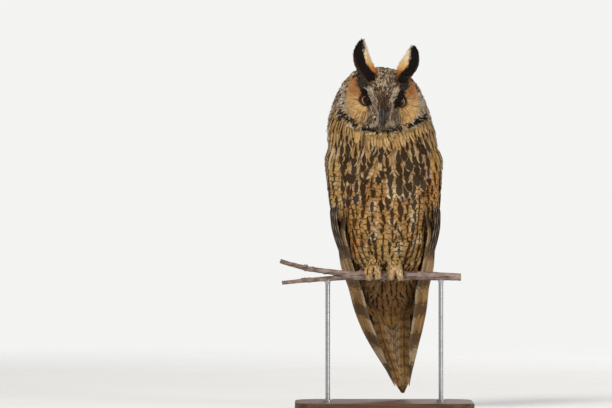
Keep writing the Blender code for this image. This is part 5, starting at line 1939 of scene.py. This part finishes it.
def base_material():
    """Dark stained wood with long grain under a satin finish."""
    n = Nodes("stained_wood")
    where = n.place()
    grain = n.noise(1.0, 6.0, 0.62, n.stretched(where, (9.0, 130.0, 60.0)), 0.8)
    pores = n.noise(1.0, 3.0, 0.7, n.stretched(where, (60.0, 1500.0, 900.0)))
    colour = n.mix(n.step(grain, 0.32, 0.68), srgb(58, 36, 24), srgb(104, 68, 44))
    colour = n.mix(n.step(pores, 0.42, 0.3, 0.0, 0.7), colour, srgb(32, 20, 14))
    n.relief(n.plus(pores, n.times(grain, 0.3)), 0.2, 0.0003)
    satin = n.step(grain, 0.3, 0.7, 0.48, 0.62)
    return n.finish(colour, satin, Coat_Weight=0.08, Coat_Roughness=0.4, Specular_IOR_Level=0.25)


def steel_material():
    """Brushed steel, its fine lines running round the rod."""
    n = Nodes("brushed_steel")
    lines = n.noise(1.0, 3.0, 0.6, n.stretched(n.place(), (90.0, 90.0, 5200.0)))
    n.relief(lines, 0.12, 0.0002)
    colour = n.mix(n.step(lines, 0.3, 0.7), srgb(150, 150, 153), srgb(196, 196, 198))
    return n.finish(colour, n.step(lines, 0.3, 0.7, 0.26, 0.4), Metallic=1.0)


def rounded_rectangle(z, inset):
    """A ring of the base at a height, drawn in by inset."""
    width, depth, _ = BASE_SIZE
    ring = []
    for right, far, start in ((1, 1, 0), (-1, 1, 90), (-1, -1, 180), (1, -1, 270)):
        turn = np.radians(start + np.linspace(0, 90, 16))
        x = right * (width / 2 - BASE_CORNER) + (BASE_CORNER - inset) * np.cos(turn)
        y = far * (depth / 2 - BASE_CORNER) + (BASE_CORNER - inset) * np.sin(turn)
        ring.append(directions(x, y, z))
    return np.concatenate(ring)


def make_stand():
    """The base with softly rounded edges, and the rods with a collar at the foot of each."""
    height = BASE_SIZE[2]
    profile = []
    for turn in np.linspace(0, math.pi / 2, 9):
        profile.append((height - BASE_EDGE * (1 - math.cos(turn)), BASE_EDGE * (1 - math.sin(turn))))
    profile += [(height * 0.5, 0.0), (1.2, 0.0), (0.4, 0.3), (0.0, 1.0)]
    rings = [rounded_rectangle(z, inset) for z, inset in profile]
    flat = (0, 0, height)
    inner = [(rings[0] - flat) * (share, share, 1) + flat for share in (0.3, 0.6, 0.9, 0.985)]
    points, triangles = closed_rings(np.array(inner + rings))
    base = add_mesh("plinth", points, triangles, BASE_MATERIAL, bird=False)
    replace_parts(base, "stand_base")
    for name, x, rows in (("left", ROD_X, PERCH_MAIN), ("right", -ROD_X, TWIG_LOWER)):
        places, *others = np.array(sorted(rows)).T
        y, z, r = (np.interp(x, places, other) for other in others)
        low, high = height - 0.2, z - r + 0.9
        shaft = np.linspace(low + 3.2, high - 4.4, 24)
        heights = [low, low + 2.0, low + 2.4, low + 2.6, *shaft, high - 4.0, high - 2.6, high]
        radii = [4.6, 4.6, 4.2] + [ROD_RADIUS] * 26 + [ROD_RADIUS + 0.35, ROD_RADIUS + 0.5]
        path = [(x, y, h) for h in heights]
        rod = add_mesh(f"rod_{name}", *tube(path, radii, 40), STEEL_MATERIAL, bird=False)
        rod.data.set_sharp_from_angle(angle=math.radians(35))
        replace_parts(rod, f"stand_rod_{name}")


EYE_MATERIAL = eye_material()
LID_MATERIAL = lid_material()
BILL_MATERIAL = horn_material("bill_horn", srgb(50, 53, 52), srgb(20, 22, 22), 0.3)
CLAW_MATERIAL = horn_material("claw_horn", srgb(40, 36, 34), srgb(18, 16, 15), 0.22)
BARK_MATERIAL = bark_material()
BASE_MATERIAL = base_material()
STEEL_MATERIAL = steel_material()


def make_skin():
    """The bird's skin, and the bed that its feathers grow from."""
    skin = closed_rings(skin_rings())
    cores = [wing_core(side) for side in SIDES.values()]
    random = np.random.default_rng(SEED + 2)
    for name, (points, triangles) in zip(("skin_body", "skin_wing_right", "skin_wing_left"), [skin] + cores):
        tone = body_look(points, random)[:, 0:4]
        face = on_face(points)
        tone[face, GROUND] = face_colour(points[face], random)
        uvs = {"OFBake": unwrap(points)}
        piece = add_mesh(name, points, triangles, MATERIALS["skin"], uvs, {"ground": tone})
        if name == "skin_body":
            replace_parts(piece, "head", "neck", "torso", "tail")
        else:
            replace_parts(piece, name[5:])
    points, triangles = joined([skin] + cores)
    return skin, BVHTree.FromPolygons(points.tolist(), triangles.tolist())


# Surroundings

FLOOR_REACH = 2.6
FLOOR_SIDES = 96
FLOOR_FADES_FROM = 1.2


def floor_material():
    """A pale floor that fades into the surroundings away from the bird."""
    n = Nodes("pale_floor")
    fine = n.noise(6.0, 2.0)
    place = n.split(n.place())
    away = n.math("SQRT", n.plus(n.math("POWER", place[0], 2.0), n.math("POWER", place[1], 2.0)))
    n.put(n.shader.inputs["Alpha"], n.step(away, FLOOR_FADES_FROM, FLOOR_REACH, 1.0, 0.0))
    colour = n.mix(fine, srgb(226, 224, 220), srgb(234, 232, 229))
    return n.finish(colour, 0.85, Specular_IOR_Level=0.2)


def make_room():
    """A round pale floor under the stand."""
    turn = full_turn(FLOOR_SIDES)
    rings = [r * directions(np.cos(turn), np.sin(turn), 0) for r in (0.02, 0.5, 1.2, FLOOR_REACH)]
    points = np.concatenate([*rings, np.zeros((1, 3))]) / MM
    j = np.arange(FLOOR_SIDES)
    hub = directions(len(points) - 1, j, (j + 1) % FLOOR_SIDES)
    triangles = np.concatenate([grid_triangles(len(rings), FLOOR_SIDES, wrap=True), hub])
    floor = add_mesh("studio_floor", points, triangles, floor_material(), bird=False)


BACKGROUND = (0.9, 0.9, 0.89)
LIT_MIDDLE = (0, 0, 0.24)
# Soft lights, all turned to the bird's middle: name, place, size, power and colour.
LIGHTS = (
    ("key", (-1.5, -2.2, 2.4), 1.2, 80, (1.0, 0.985, 0.96)),
    ("fill", (2.2, -2.2, 0.9), 1.8, 44, (1.0, 0.99, 0.97)),
    ("rim", (0.8, 2.6, 1.6), 1.6, 30, (1.0, 1.0, 1.0)),
)
CAMERA_PLACE = (-0.0858, -5.6, 0.2266)
CAMERA_LENS = 300.0


def make_light(name, place, size, power, colour):
    data = bpy.data.lights.new(name, "AREA")
    data.shape, data.size, data.energy, data.color = "DISK", size, power, colour
    obj = bpy.data.objects.new(name, data)
    obj.location = place
    obj.rotation_euler = (Vector(LIT_MIDDLE) - Vector(place)).to_track_quat("-Z", "Y").to_euler()
    bpy.context.scene.collection.objects.link(obj)


def make_camera():
    data = bpy.data.cameras.new("photo_view")
    data.lens, data.sensor_width, data.clip_end = CAMERA_LENS, 36.0, 60.0
    camera = bpy.data.objects.new("photo_view", data)
    camera.location = CAMERA_PLACE
    camera.rotation_euler = (math.pi / 2, 0, 0)
    bpy.context.scene.collection.objects.link(camera)
    bpy.context.scene.camera = camera


def make_surroundings():
    make_room()
    for light in LIGHTS:
        make_light(*light)
    world = bpy.data.worlds.new("studio")
    world.use_nodes = True
    nodes, links = world.node_tree.nodes, world.node_tree.links
    soft = nodes["Background"]
    soft.inputs["Color"].default_value = (0.86, 0.88, 0.9, 1)
    soft.inputs["Strength"].default_value = 0.5
    seen = nodes.new("ShaderNodeBackground")
    seen.inputs["Color"].default_value = (*BACKGROUND, 1)
    either = nodes.new("ShaderNodeMixShader")
    links.new(nodes.new("ShaderNodeLightPath").outputs["Is Camera Ray"], either.inputs[0])
    links.new(soft.outputs[0], either.inputs[1])
    links.new(seen.outputs[0], either.inputs[2])
    links.new(either.outputs[0], nodes["World Output"].inputs[0])
    bpy.context.scene.world = world
    bpy.context.scene.view_settings.view_transform = "Standard"


def main():
    skin, bed = make_skin()
    make_body_coat(bed)
    make_hood(bed, skin)
    for side_name in SIDES:
        make_face(side_name, bed, skin)
        make_eye(side_name)
        make_wing(side_name, bed)
        make_tuft(side_name)
        make_leg(side_name)
    make_brows(bed, skin)
    make_ruff(bed, skin)
    make_tail()
    make_bill()
    make_perch()
    make_stand()
    make_surroundings()
    make_camera()


main()
